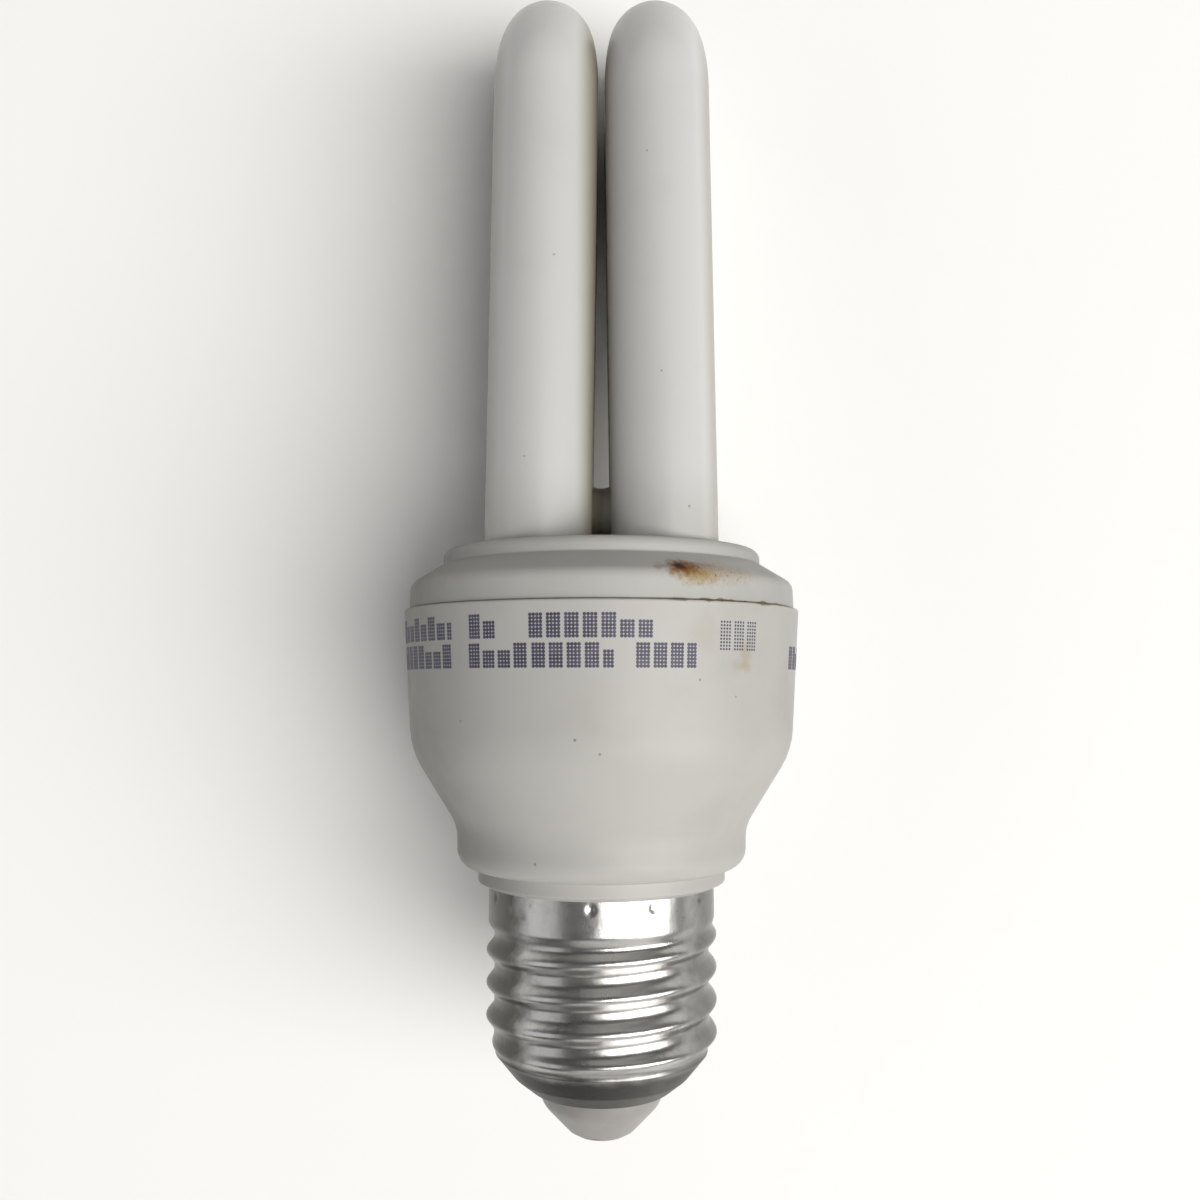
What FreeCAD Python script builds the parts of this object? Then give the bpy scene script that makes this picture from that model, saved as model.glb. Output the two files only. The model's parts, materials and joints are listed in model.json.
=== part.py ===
import FreeCAD, Part
import math
import os

# A compact fluorescent lamp with two U shaped glass tubes side by side and a screw cap.
# Sizes are millimetres. Every piece is drawn upright about the lamp's own axis, with z = 0
# at the tip of the cap, z growing towards the tubes, x across the pair of tubes and -y the
# front. place_all then lays the whole lamp down: it rests on the rim of its housing and on
# the lower bends of both tubes, with +Y towards the tubes and +Z up.

# Screw cap
thread_crest_radius = 13.1
thread_depth = 0.9
thread_pitch = 3.629
thread_crest_z = 12.2
crest_sharpness = 1.25
thread_runout = 2.2
sheet_wall = 0.3
thread_bottom_z = 10.0
thread_top_z = 25.2
collar_radius = 12.86
collar_height = 3.4
shoulder_top_radius = 12.05
shoulder_mid_radius = 10.0
shoulder_mid_height = 1.6
lip_z = 5.9
lip_outer_radius = 8.0
lip_hole_radius = 7.15
lip_round = 0.8
shoulder_round = 1.2
dimple_count = 12
dimple_radius = 0.95
dimple_depth = 0.42
dimple_drop = 1.45
dimple_turn = -5.0

# Insulator and contact at the tip of the cap
contact_radius = 3.1
contact_flat = 0.7
contact_height = 1.15
contact_edge = 0.35
contact_round = 0.3
lead_hole_radius = 0.9
insulator_step = 0.6
insulator_clearance = 0.06
insulator_top_z = 9.2
dome_shoulder_radius = 6.7
dome_shoulder_z = 4.3
dome_round = 3.0
insulator_edge = 0.5

# Housing
housing_wall = 1.6
seam_z = 59.7
rim_edge = 0.25
belly_radius = 21.8
belly_z = 43.9
belly_round = 9.0
waist_radius = 16.5
waist_z = 35.3
waist_round = 5.0
foot_radius = 14.1
foot_height = 1.5
foot_chamfer = 0.5
foot_round = 2.2
cap_seat_width = 0.35
neck_clearance = 0.16
neck_depth = 9.4
neck_wall = 1.4
neck_root_clearance = 0.3
crimp_groove_depth = 0.45
crimp_groove_height = 1.6
mouth_depth = 5.0
mouth_wall = 1.6
rib_count = 4
rib_width = 1.6
rib_turn = 45.0
rib_reach = 2.0
rib_height = 7.0

# Tube holder, the cover that carries the glass
flange_step = 0.55
flange_height = 2.9
flange_draft = 0.1
flange_round = 1.4
flange_edge = 0.15
plate_margin = 1.34
plate_top_z = 66.6
plate_edge_height = 1.7
plate_edge_round = 1.1
plate_foot_round = 0.3
plate_thickness = 1.8
holder_wall = 1.5
skirt_length = 4.4
skirt_clearance = 0.1
skirt_lead_in = 0.3
snap_height = 1.1
snap_reach = 0.3
snap_clearance = 0.08
snap_drop = 2.7
leg_hole_clearance = 0.25
pocket_wall = 1.1
pocket_depth = 4.4
pocket_gap = 1.39
board_clip_width = 4.0
board_clip_thickness = 1.5
board_clearance = 0.1

# Glass tubes
tube_radius = 5.9
bend_narrowing = 0.85
gap_between_tubes = 2.2
gap_between_legs = 4.8
lean_angle = 0.82
bend_z = 118.2
leg_end_z = 57.2
bridge_radius = 3.0
bridge_flare = 1.1
bridge_rise = 6.0
pinch_width = 7.4
pinch_thickness = 2.4
pinch_length = 4.2
exhaust_radius = 1.4
exhaust_length = 5.5
cement_depth = 3.6

# Circuit board and the electronics that hang below it
board_thickness = 1.6
board_bottom_z = 45.0
board_side_gap = 0.4
lead_radius = 0.3
lead_hole_clearance = 0.1
lead_stub = 0.9
solder_radius = 0.55
solder_height = 0.6
body_gap = 0.3
coil_wire_radius = 0.28

bulk_radius = 5.0
bulk_length = 16.0
bulk_round = 0.8
bulk_x = 4.6

core_width = 12.6
core_depth = 6.0
core_height = 11.0
core_back = 2.4
core_leg = 2.0
core_centre_leg = 3.4
core_fit = 0.1
bobbin_wall = 0.6
bobbin_flange = 0.7
bobbin_overhang = 1.7
winding_depth = 1.3
winding_round = 0.9
choke_x = -9.0

toroid_outer_radius = 4.2
toroid_inner_radius = 2.3
toroid_height = 3.6
toroid_reach = 12.7
toroid_turn = 48.0
toroid_turns = 9

diode_radius = 1.25
diode_length = 4.6
diode_reach = 15.0
small_part_radius = 0.9
small_part_length = 3.4
fuse_radius = 1.6
fuse_length = 6.4
film_length = 9.6
film_thickness = 4.0
film_height = 8.0
film_reach = 11.5
film_x = -1.6
transistor_radius = 2.3
transistor_flat = 1.3
transistor_height = 4.6
transistor_standoff = 1.8
transistor_high_reach = 13.3
transistor_low_reach = 11.9
transistor_pin_pitch = 1.5
disc_radius = 2.6
disc_thickness = 1.9
starter_length = 4.6
starter_thickness = 2.4
starter_height = 4.4
middle_part_x = -0.8
middle_part_reach = 7.5
edge_row_reach = 16.45
inner_row_reach = 13.05

# Angles round the board, from +x towards the back, at which its parts stand
diode_angles = (131, 162, 198, 229)
transistor_high_angle = -54
transistor_low_angle = -30
fuse_angle = 96
diac_angle = -102
start_resistor_angle = -76
base_resistor_high_angle = -29
base_resistor_low_angle = -3
emitter_resistor_low_angle = 24
emitter_resistor_high_angle = 0
post_angles = (-135, -122, -58, -45)

# Wires between the glass, the board and the cap
post_size = 0.8
post_reach = 17.4
post_height = 4.2
post_stub = 0.8
electrode_wire_radius = 0.22
electrode_spacing = 3.4
electrode_drop = 1.3
wire_bend = 0.5
cap_wire_radius = 0.4
cap_wire_x = -2.3
cap_wire_spacing = 3.4
cap_wire_bend = 2.0
wire_joint_gap = 0.1
shell_wire_clearance = 0.6
shell_wire_turn_drop = 1.2
shell_wire_slant = 2.4
shell_wire_contact_length = 2.8

# Values that follow from the ones above
thread_root_radius = thread_crest_radius - thread_depth
collar_top_z = thread_top_z + collar_height
crimp_z = collar_top_z - dimple_drop
board_top_z = board_bottom_z + board_thickness
lead_length = board_thickness + lead_stub
plate_underside_z = plate_top_z - plate_thickness
leg_spread = tube_radius + gap_between_tubes / 2
leg_depth = tube_radius + gap_between_legs / 2
pocket_radius = math.hypot(leg_spread, leg_depth) + tube_radius + leg_hole_clearance
plate_radius = pocket_radius + plate_margin
cement_bottom_z = plate_underside_z - cement_depth
skirt_inner_radius = pocket_radius + pocket_wall + pocket_gap
skirt_radius = skirt_inner_radius + holder_wall
skirt_bottom_z = seam_z - skirt_length
mouth_radius = skirt_radius + skirt_clearance
mouth_z = seam_z - mouth_depth
rim_radius = mouth_radius + mouth_wall
foot_top_z = collar_top_z + foot_chamfer + foot_height
front_angle = -90.0
seam_tolerance = 0.001
sides = (("left", -1), ("right", 1))


# Drawing helpers

def vector(x, y, z):
    return FreeCAD.Vector(x, y, z)


def polar(radius, angle, z=0.0):
    turn = math.radians(angle)
    return vector(radius * math.cos(turn), radius * math.sin(turn), z)


def cylinder(radius, bottom, top, x=0.0, y=0.0):
    return Part.makeCylinder(radius, top - bottom, vector(x, y, bottom))


def block(size_x, size_y, bottom, top, x=0.0, y=0.0):
    corner = vector(x - size_x / 2, y - size_y / 2, bottom)
    return Part.makeBox(size_x, size_y, top - bottom, corner)


def lying_bar(radius, start, end):
    direction = end - start
    return Part.makeCylinder(radius, direction.Length, start, direction)


def rounded_edges(points, radii, closed):
    """Straight runs between the points, joined by tangent arcs of the given radii."""
    edges = []
    count = len(points)
    starts = list(points)
    ends = list(points)
    arcs = [None] * count
    for i in range(count):
        if radii[i] <= 0 or (not closed and i in (0, count - 1)):
            continue
        corner = points[i]
        back = (points[i - 1] - corner).normalize()
        ahead = (points[(i + 1) % count] - corner).normalize()
        half = back.getAngle(ahead) / 2
        cut = radii[i] / math.tan(half)
        middle = (back + ahead).normalize() * (radii[i] / math.sin(half) - radii[i])
        ends[i] = corner + back * cut
        starts[i] = corner + ahead * cut
        arcs[i] = Part.Arc(ends[i], corner + middle, starts[i]).toShape()
    last = count if closed else count - 1
    for i in range(last):
        if arcs[i] is not None:
            edges.append(arcs[i])
        after = (i + 1) % count
        if starts[i].distanceToPoint(ends[after]) > 1e-6:
            edges.append(Part.LineSegment(starts[i], ends[after]).toShape())
    return edges


def turned(outline):
    """A solid of revolution about the lamp's axis from (radius, z, corner round) points."""
    points = [vector(radius, 0, z) for radius, z, corner in outline]
    radii = [corner for radius, z, corner in outline]
    wire = Part.Wire(rounded_edges(points, radii, True))
    return Part.Face(wire).revolve(vector(0, 0, 0), vector(0, 0, 1), 360)


def inset(points, distance):
    """The (radius, z) line moved towards the axis side by a distance square to itself."""
    normals = []
    for (r0, z0), (r1, z1) in zip(points, points[1:]):
        length = math.hypot(r1 - r0, z1 - z0)
        normals.append((-(z1 - z0) / length, (r1 - r0) / length))
    moved = []
    for i, (radius, z) in enumerate(points):
        a = normals[max(i - 1, 0)]
        b = normals[min(i, len(normals) - 1)]
        scale = distance / (1 + a[0] * b[0] + a[1] * b[1])
        moved.append((radius + (a[0] + b[0]) * scale, z + (a[1] + b[1]) * scale))
    return moved


def wire_run(points, radius, bend):
    """A round wire along a line of points with tangent bends."""
    radii = [bend] * len(points)
    path = Part.Wire(rounded_edges(points, radii, False))
    circle = Part.makeCircle(radius, points[0], points[1] - points[0])
    return path.makePipeShell([Part.Wire(circle)], True, False, 2)


def spline_skin(rows):
    """A smooth face through rows of points, closed along each row."""
    surface = Part.BSplineSurface()
    surface.interpolate(rows)
    return surface.toShape()


def rim_wire(skin, point):
    """The closed rim of a skin that passes nearest to a point."""
    rims = [edge for edge in skin.Edges if edge.Closed]
    return Part.Wire(min(rims, key=lambda edge: edge.distToShape(Part.Vertex(point))[0]))


def flat_face(wires):
    """The flat face inside one wire, or between two."""
    return Part.makeFace(wires, "Part::FaceMakerBullseye")


def sewn_solid(faces):
    skin = Part.makeCompound(faces)
    skin.sewShape()
    return Part.makeSolid(skin)


def smooth_step(share):
    share = min(max(share, 0.0), 1.0)
    return share * share * (3 - 2 * share)


# Screw cap

def shoulder_line():
    return [
        (lip_hole_radius, lip_z),
        (lip_outer_radius, lip_z),
        (shoulder_mid_radius, lip_z + shoulder_mid_height),
        (shoulder_top_radius, thread_bottom_z),
        (shoulder_top_radius, thread_bottom_z + collar_height),
    ]


def thread_radius(angle, z):
    """Outer radius of the rolled sheet at one place round the shell, in degrees and z."""
    height = thread_top_z - thread_bottom_z
    rise = smooth_step((z - thread_bottom_z) / height)
    plain = shoulder_top_radius + (collar_radius - shoulder_top_radius) * rise
    nearest_end = min(z - thread_bottom_z, thread_top_z - z)
    strength = smooth_step(nearest_end / thread_runout)
    phase = 2 * math.pi * ((z - thread_crest_z) / thread_pitch) - math.radians(angle)
    wave = (0.5 + 0.5 * math.cos(phase)) ** crest_sharpness
    threaded = thread_root_radius + thread_depth * wave
    return plain + strength * (threaded - plain)


def thread_skin(depth):
    """The threaded face of the shell, a given depth below its outer side."""
    around = 32
    along = 8 * round((thread_top_z - thread_bottom_z) / thread_pitch)
    rows = []
    for i in range(along + 1):
        z = thread_bottom_z + (thread_top_z - thread_bottom_z) * i / along
        row = []
        for k in range(around + 1):
            angle = 90 + 360 * (k % around) / around
            row.append(polar(thread_radius(angle, z) - depth, angle, z))
        rows.append(row)
    return spline_skin(rows)


def threaded_sheet():
    """The rolled part of the shell: two threaded skins with flat rings at their ends."""
    skins = [thread_skin(0), thread_skin(sheet_wall)]
    rings = []
    for z in (thread_bottom_z, thread_top_z):
        rings.append(flat_face([rim_wire(skin, vector(0, 0, z)) for skin in skins]))
    return sewn_solid(skins + rings)


def cap_shoulder():
    outer = shoulder_line()[:-1]
    inner = inset(shoulder_line(), sheet_wall)[:-1]
    inner[-1] = (shoulder_top_radius - sheet_wall, thread_bottom_z)
    rounds = [0, lip_round, shoulder_round, 0]
    outline = [(r, z, c) for (r, z), c in zip(outer, rounds)]
    inner_rounds = [0, lip_round - sheet_wall, shoulder_round - sheet_wall, 0]
    outline += [(r, z, c) for (r, z), c in reversed(list(zip(inner, inner_rounds)))]
    return turned(outline)


def dimple_balls(radius):
    """Balls that stand round the collar, each reaching into the sheet at the crimp line."""
    reach = collar_radius - dimple_depth + dimple_radius
    balls = []
    for k in range(dimple_count):
        angle = front_angle + dimple_turn + 360 * k / dimple_count
        balls.append(Part.makeSphere(radius, polar(reach, angle, crimp_z)))
    return balls


def cap_collar():
    """The plain collar with its crimp dimples pressed in, at an even sheet wall."""
    ring = cylinder(collar_radius, thread_top_z, collar_top_z)
    bore = cylinder(collar_radius - sheet_wall, thread_top_z, collar_top_z)
    bumps = ring.common(Part.makeCompound(dimple_balls(dimple_radius + sheet_wall)))
    sheet = ring.cut(bore).fuse(bumps)
    return sheet.cut(Part.makeCompound(dimple_balls(dimple_radius)))


def screw_shell():
    return cap_shoulder().fuse([threaded_sheet(), cap_collar()], seam_tolerance)


def centre_contact():
    return turned([
        (0, 0, 0),
        (contact_flat, 0, 0),
        (contact_radius, contact_height - contact_edge, contact_round),
        (contact_radius, contact_height, 0),
        (0, contact_height, 0),
    ])


def contact_insulator():
    inner = inset(shoulder_line(), sheet_wall + insulator_clearance)
    top = inner[2]
    slope = (inner[3][0] - top[0]) / (inner[3][1] - top[1])
    top_radius = top[0] + slope * (insulator_top_z - top[1])
    throat = lip_hole_radius - insulator_clearance
    return turned([
        (lead_hole_radius, contact_height, 0),
        (contact_radius + insulator_step, contact_height, insulator_edge),
        (dome_shoulder_radius, dome_shoulder_z, dome_round),
        (throat, lip_z, 0),
        (throat, inner[1][1], 0),
        (inner[1][0], inner[1][1], lip_round / 2),
        (top[0], top[1], shoulder_round - sheet_wall),
        (top_radius, insulator_top_z, 0),
        (lead_hole_radius, insulator_top_z, 0),
    ])


# Housing

def housing_side():
    """The outer side line of the housing, from its foot up to the seam."""
    return [
        (waist_radius, foot_top_z),
        (waist_radius, waist_z),
        (belly_radius, belly_z),
        (rim_radius, seam_z),
    ]


def housing_inner_radius(z):
    line = inset(housing_side(), housing_wall)
    for (r0, z0), (r1, z1) in zip(line, line[1:]):
        if z <= z1:
            return r0 + (r1 - r0) * (z - z0) / (z1 - z0)
    return line[-1][0]


def housing_neck():
    """The neck inside the shell, with the groove that takes the crimp dimples."""
    fit_radius = collar_radius - sheet_wall - neck_clearance
    low_radius = thread_root_radius - sheet_wall - neck_root_clearance
    groove_radius = fit_radius - crimp_groove_depth
    bottom_z = collar_top_z - neck_depth
    half_groove = crimp_groove_height / 2
    slope_z = crimp_z - half_groove - crimp_groove_depth
    return fit_radius, [
        (low_radius, bottom_z, 0.4),
        (low_radius, thread_top_z - (fit_radius - low_radius), 0),
        (fit_radius, thread_top_z, 0),
        (fit_radius, slope_z, 0),
        (groove_radius, crimp_z - half_groove, 0),
        (groove_radius, crimp_z + half_groove, 0),
    ]


def ballast_housing():
    fit_radius, neck = housing_neck()
    bore_radius = neck[0][0] - neck_wall
    inner = inset(housing_side(), housing_wall)
    floor_z = foot_top_z + housing_wall
    groove_z = seam_z - snap_drop
    groove_radius = mouth_radius + snap_reach
    outline = [(bore_radius, neck[0][1], 0)] + neck
    outline += [
        (fit_radius, collar_top_z, 0),
        (fit_radius + sheet_wall + cap_seat_width, collar_top_z, 0),
        (foot_radius, collar_top_z + foot_chamfer, 0.2),
        (foot_radius, foot_top_z, 0),
        (waist_radius, foot_top_z, foot_round),
        (waist_radius, waist_z, waist_round),
        (belly_radius, belly_z, belly_round),
        (rim_radius, seam_z, rim_edge),
        (mouth_radius, seam_z, 0.2),
        (mouth_radius, groove_z + snap_height / 2, 0),
        (groove_radius, groove_z, 0),
        (mouth_radius, groove_z - snap_height / 2, 0),
        (mouth_radius, mouth_z, 0),
        (housing_inner_radius(mouth_z), mouth_z, 0),
        (inner[2][0], inner[2][1], belly_round - housing_wall),
        (inner[1][0], inner[1][1], waist_round),
        (inner[0][0], floor_z, 1.0),
        (bore_radius, floor_z, 0.6),
    ]
    body = turned(outline)
    return body.fuse(housing_ribs())


def housing_ribs():
    """Upright ribs inside the wall, whose tops carry the circuit board."""
    outer = turned([
        (0, foot_top_z + housing_wall, 0),
        (waist_radius - housing_wall / 2, foot_top_z + housing_wall, 0),
        (waist_radius - housing_wall / 2, waist_z, 0),
        (belly_radius - housing_wall / 2, belly_z, 0),
        (belly_radius - housing_wall / 2, seam_z, 0),
        (0, seam_z, 0),
    ])
    ribs = []
    inner_end = board_radius() - rib_reach
    for k in range(rib_count):
        rib = Part.makeBox(rim_radius, rib_width, rib_height,
                           vector(inner_end, -rib_width / 2, board_bottom_z - rib_height))
        rib.rotate(vector(0, 0, 0), vector(0, 0, 1), rib_turn + 360 * k / rib_count)
        ribs.append(rib.common(outer))
    return ribs


# Tube holder and cement

def holder_side():
    flange_radius = rim_radius - flange_step
    return [
        (flange_radius, seam_z),
        (flange_radius - flange_draft, seam_z + flange_height),
        (plate_radius, plate_top_z - plate_edge_height),
    ]


def tube_holder():
    outer = holder_side()
    inner = inset(outer, holder_wall)
    bead_z = seam_z - snap_drop
    bead_radius = mouth_radius + snap_reach - snap_clearance
    half_bead = snap_height / 2 - snap_clearance
    body = turned([
        (skirt_inner_radius, skirt_bottom_z, 0),
        (skirt_radius, skirt_bottom_z, skirt_lead_in),
        (skirt_radius, bead_z - half_bead, 0),
        (bead_radius, bead_z, 0),
        (skirt_radius, bead_z + half_bead, 0),
        (skirt_radius, seam_z, 0),
        (outer[0][0], seam_z, flange_edge),
        (outer[1][0], outer[1][1], flange_round),
        (outer[2][0], outer[2][1], plate_foot_round),
        (plate_radius, plate_top_z, plate_edge_round),
        (0, plate_top_z, 0),
        (0, plate_underside_z, 0),
        (pocket_radius, plate_underside_z, 0),
        (pocket_radius, plate_underside_z - pocket_depth, 0),
        (pocket_radius + pocket_wall, plate_underside_z - pocket_depth, 0),
        (pocket_radius + pocket_wall, inner[2][1] - holder_wall / 2, 0),
        (skirt_inner_radius, inner[1][1], 0),
    ])
    return body.fuse(board_clips()).cut(leg_holes())


def board_clips():
    """Tongues that reach down from the skirt and keep the board on its ribs."""
    clips = []
    for k in range(rib_count):
        inner_end = board_radius() - board_clip_thickness
        clip = Part.makeBox(rim_radius, board_clip_width, seam_z - board_top_z,
                            vector(inner_end, -board_clip_width / 2,
                                   board_top_z + board_clearance))
        clip.rotate(vector(0, 0, 0), vector(0, 0, 1), rib_turn + 360 * k / rib_count)
        clips.append(clip.common(clip_zone()))
    return clips


def clip_zone():
    """The room inside the cavity wall for the tongues, and the part of the skirt they grow from."""
    root_radius = (skirt_inner_radius + skirt_radius) / 2
    return turned([
        (0, board_top_z, 0),
        (housing_inner_radius(board_top_z) - skirt_clearance, board_top_z, 0),
        (min(housing_inner_radius(mouth_z), mouth_radius) - skirt_clearance, mouth_z, 0),
        (root_radius, skirt_bottom_z, 0),
        (root_radius, seam_z, 0),
        (0, seam_z, 0),
    ])


def leg_places():
    """Name of the side, front or back, and the axis place at the plate for each leg."""
    for side, sign in sides:
        for end, depth in (("front", -leg_depth), ("back", leg_depth)):
            yield side, sign, end, vector(sign * leg_spread, depth, plate_top_z)


def leaned(shape, sign):
    """Tips a piece that is drawn upright over to the middle, as each U leans."""
    shape.rotate(vector(0, 0, plate_top_z), vector(0, 1, 0), -sign * lean_angle)
    shape.translate(vector(sign * leg_spread, 0, 0))
    return shape


def leg_holes():
    holes = []
    hole_radius = tube_radius + leg_hole_clearance
    for side, sign, end, place in leg_places():
        hole = cylinder(hole_radius, plate_underside_z - 1, plate_top_z + 1, 0, place.y)
        holes.append(leaned(hole, sign))
    return holes


def tube_cement(glass):
    pool = cylinder(pocket_radius, cement_bottom_z, plate_underside_z)
    return pool.cut(glass)


# Glass tubes

def bend_radius_at(turn):
    """Radius of the glass along the bend, narrowest at the top."""
    return tube_radius - bend_narrowing * math.sin(turn) ** 2


def bend_skin():
    around = 24
    along = 20
    rows = []
    for i in range(along + 1):
        turn = math.pi * i / along
        outward = vector(0, math.cos(turn), math.sin(turn))
        centre = vector(0, 0, bend_z) + outward * leg_depth
        radius = bend_radius_at(turn)
        row = []
        for k in range(around + 1):
            ring = math.pi + 2 * math.pi * (k % around) / around
            row.append(centre + outward * (radius * math.cos(ring))
                       + vector(1, 0, 0) * (radius * math.sin(ring)))
        rows.append(row)
    return spline_skin(rows)


def bent_tube():
    """One U: two straight legs below a bend, with closed flat ends."""
    skin = bend_skin()
    ends = []
    legs = []
    for depth in (leg_depth, -leg_depth):
        ends.append(flat_face([rim_wire(skin, vector(0, depth, bend_z))]))
        legs.append(cylinder(tube_radius, leg_end_z, bend_z, 0, depth))
    return sewn_solid([skin] + ends).fuse(legs, seam_tolerance)


def pinch_seal():
    """The flattened end of an electrode leg, which grips the two lead wires."""
    seal = block(pinch_width, pinch_thickness, leg_end_z - pinch_length, leg_end_z + 1,
                 0, -leg_depth)
    upright = [edge for edge in seal.Edges if abs(edge.tangentAt(0).z) > 0.9]
    return seal.makeFillet(pinch_thickness * 0.3, upright)


def exhaust_tip():
    """The melted-off stub of the tube that the glass was emptied through."""
    tip = cylinder(exhaust_radius, leg_end_z - exhaust_length, leg_end_z + 1, 0, leg_depth)
    bottom = min(tip.Edges, key=lambda edge: edge.BoundBox.ZMax)
    return tip.makeFillet(exhaust_radius * 0.8, [bottom])


def bridge():
    """The short fused tube that joins the two back legs just above the plate."""
    height = plate_top_z + bridge_rise
    half = leg_spread
    flare_x = leg_spread - tube_radius * 0.8
    middle = vector(0, bridge_radius, 0)
    end = vector(flare_x, bridge_radius + bridge_flare, 0)
    start = vector(-flare_x, bridge_radius + bridge_flare, 0)
    outline = Part.Wire([
        Part.LineSegment(vector(-half, 0, 0), vector(-half, end.y, 0)).toShape(),
        Part.LineSegment(vector(-half, end.y, 0), start).toShape(),
        Part.Arc(start, middle, end).toShape(),
        Part.LineSegment(end, vector(half, end.y, 0)).toShape(),
        Part.LineSegment(vector(half, end.y, 0), vector(half, 0, 0)).toShape(),
        Part.LineSegment(vector(half, 0, 0), vector(-half, 0, 0)).toShape(),
    ])
    solid = Part.Face(outline).revolve(vector(0, 0, 0), vector(1, 0, 0), 360)
    solid.translate(vector(0, leg_depth, height))
    return solid


def discharge_tube():
    tubes = []
    for side, sign in sides:
        tube = bent_tube().fuse(pinch_seal())
        if sign < 0:
            tube = tube.fuse(exhaust_tip())
        tubes.append(leaned(tube, sign))
    return tubes[0].fuse([tubes[1], bridge()])


# Circuit board, drawn with the board's underside at z = 0 for each part that hangs from it

def board_radius():
    """The board has room in the cavity and also passes the mouth on its way in."""
    return min(housing_inner_radius(board_bottom_z), mouth_radius) - board_side_gap


def upright_leads(spacing, bottom):
    return [cylinder(lead_radius, bottom, lead_length, x, 0) for x in (-spacing / 2, spacing / 2)]


def axial_part(radius, length, end_band=0.0):
    """A lying round part with a lead out of each end that turns up into the board."""
    z = -body_gap - radius
    band = length * 0.18
    body = lying_bar(radius, vector(-length / 2, 0, z), vector(length / 2, 0, z))
    if end_band > 0:
        waist = lying_bar(radius, vector(-length / 2 + band, 0, z),
                          vector(length / 2 - band, 0, z))
        core = lying_bar(radius - end_band, vector(-length / 2, 0, z), vector(length / 2, 0, z))
        body = body.cut(waist).fuse(core)
    half = axial_spacing(length) / 2
    for sign in (-1, 1):
        along = lying_bar(lead_radius, vector(0, 0, z), vector(sign * half, 0, z))
        corner = Part.makeSphere(lead_radius, vector(sign * half, 0, z))
        up = cylinder(lead_radius, z, lead_length, sign * half, 0)
        body = body.fuse([along, corner, up])
    return body


def axial_spacing(length):
    return length + 2.4


def film_part(length, thickness, height):
    body = block(length, thickness, -body_gap - height, -body_gap)
    body = body.makeFillet(min(thickness, height) * 0.18, body.Edges)
    return body.fuse(upright_leads(length * 0.7, -body_gap - 1))


def disc_part():
    z = -body_gap - disc_radius
    body = lying_bar(disc_radius, vector(0, -disc_thickness / 2, z),
                     vector(0, disc_thickness / 2, z))
    body = body.makeFillet(disc_thickness * 0.3, body.Edges)
    return body.fuse(upright_leads(disc_radius * 1.3, z))


def bulk_part():
    top = -body_gap
    body = cylinder(bulk_radius, top - bulk_length, top)
    groove = Part.makeTorus(bulk_radius + 0.35, 0.8, vector(0, 0, top - 2.2))
    body = body.makeFillet(bulk_round, body.Edges).cut(groove)
    return body.fuse(upright_leads(bulk_radius, top - 1))


def transistor_part():
    top = -transistor_standoff
    body = cylinder(transistor_radius, top - transistor_height, top)
    flat = block(4 * transistor_radius, transistor_radius, top - 2 * transistor_height, 1,
                 0, transistor_flat + transistor_radius / 2)
    leads = [cylinder(lead_radius, top - 0.5, lead_length, x, 0) for x in transistor_pins()]
    return body.cut(flat).fuse(leads)


def transistor_pins():
    return (-transistor_pin_pitch, 0, transistor_pin_pitch)


def board_parts():
    """Name, solid, lead places, and x, y and angle on the board of each soldered part."""
    axial = lambda radius, length, band: (axial_part(radius, length, band),
                                          end_places(axial_spacing(length)))
    diode = (diode_radius, diode_length, 0)
    resistor = (small_part_radius, small_part_length, 0.15)
    film = (film_part(film_length, film_thickness, film_height), end_places(film_length * 0.7))
    starter = (film_part(starter_length, starter_thickness, starter_height),
               end_places(starter_length * 0.7))
    transistor = (transistor_part(), transistor_pins())
    ring_part = lambda part, reach, angle: (*part, polar(reach, angle), angle + 90)
    yield "bulk_capacitor", bulk_part(), end_places(bulk_radius), vector(bulk_x, 0, 0), 90
    yield "resonant_capacitor", *film, vector(film_x, film_reach, 0), 0
    yield "coupling_capacitor", *film, vector(film_x, -film_reach, 0), 0
    for number, angle in enumerate(diode_angles, 1):
        reach = edge_row_reach if number in (2, 3) else diode_reach
        yield f"rectifier_diode_{number}", *ring_part(axial(*diode), reach, angle)
    high_place = polar(transistor_high_reach, transistor_high_angle)
    yield "transistor_high", *transistor, high_place, 0
    low_place = polar(transistor_low_reach, transistor_low_angle)
    yield "transistor_low", *transistor, low_place, 90
    fuse = axial(fuse_radius, fuse_length, 0.2)
    yield "fuse_resistor", *ring_part(fuse, edge_row_reach, fuse_angle)
    diac = axial(small_part_radius, small_part_length, 0)
    yield "diac", *ring_part(diac, edge_row_reach, diac_angle)
    edge_resistors = (("start_resistor", start_resistor_angle),
                      ("base_resistor_high", base_resistor_high_angle),
                      ("base_resistor_low", base_resistor_low_angle),
                      ("emitter_resistor_low", emitter_resistor_low_angle))
    for name, angle in edge_resistors:
        yield name, *ring_part(axial(*resistor), edge_row_reach, angle)
    inner_place = ring_part(axial(*resistor), inner_row_reach, emitter_resistor_high_angle)
    yield "emitter_resistor_high", *inner_place
    disc = (disc_part(), end_places(disc_radius * 1.3))
    yield "snubber_capacitor", *disc, vector(middle_part_x, middle_part_reach, 0), 0
    yield "starting_capacitor", *starter, vector(middle_part_x, -middle_part_reach, 0), 0


def end_places(spacing):
    return (-spacing / 2, spacing / 2)


def on_board(shape, place, angle):
    placed = shape.copy()
    placed.rotate(vector(0, 0, 0), vector(0, 0, 1), angle)
    placed.translate(vector(place.x, place.y, board_bottom_z))
    return placed


def electrode_posts():
    """Names and places of the four square pins that the electrode wires are fixed to."""
    for number, angle in enumerate(post_angles, 1):
        yield f"lead_post_{number}", polar(post_reach, angle), angle


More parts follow.
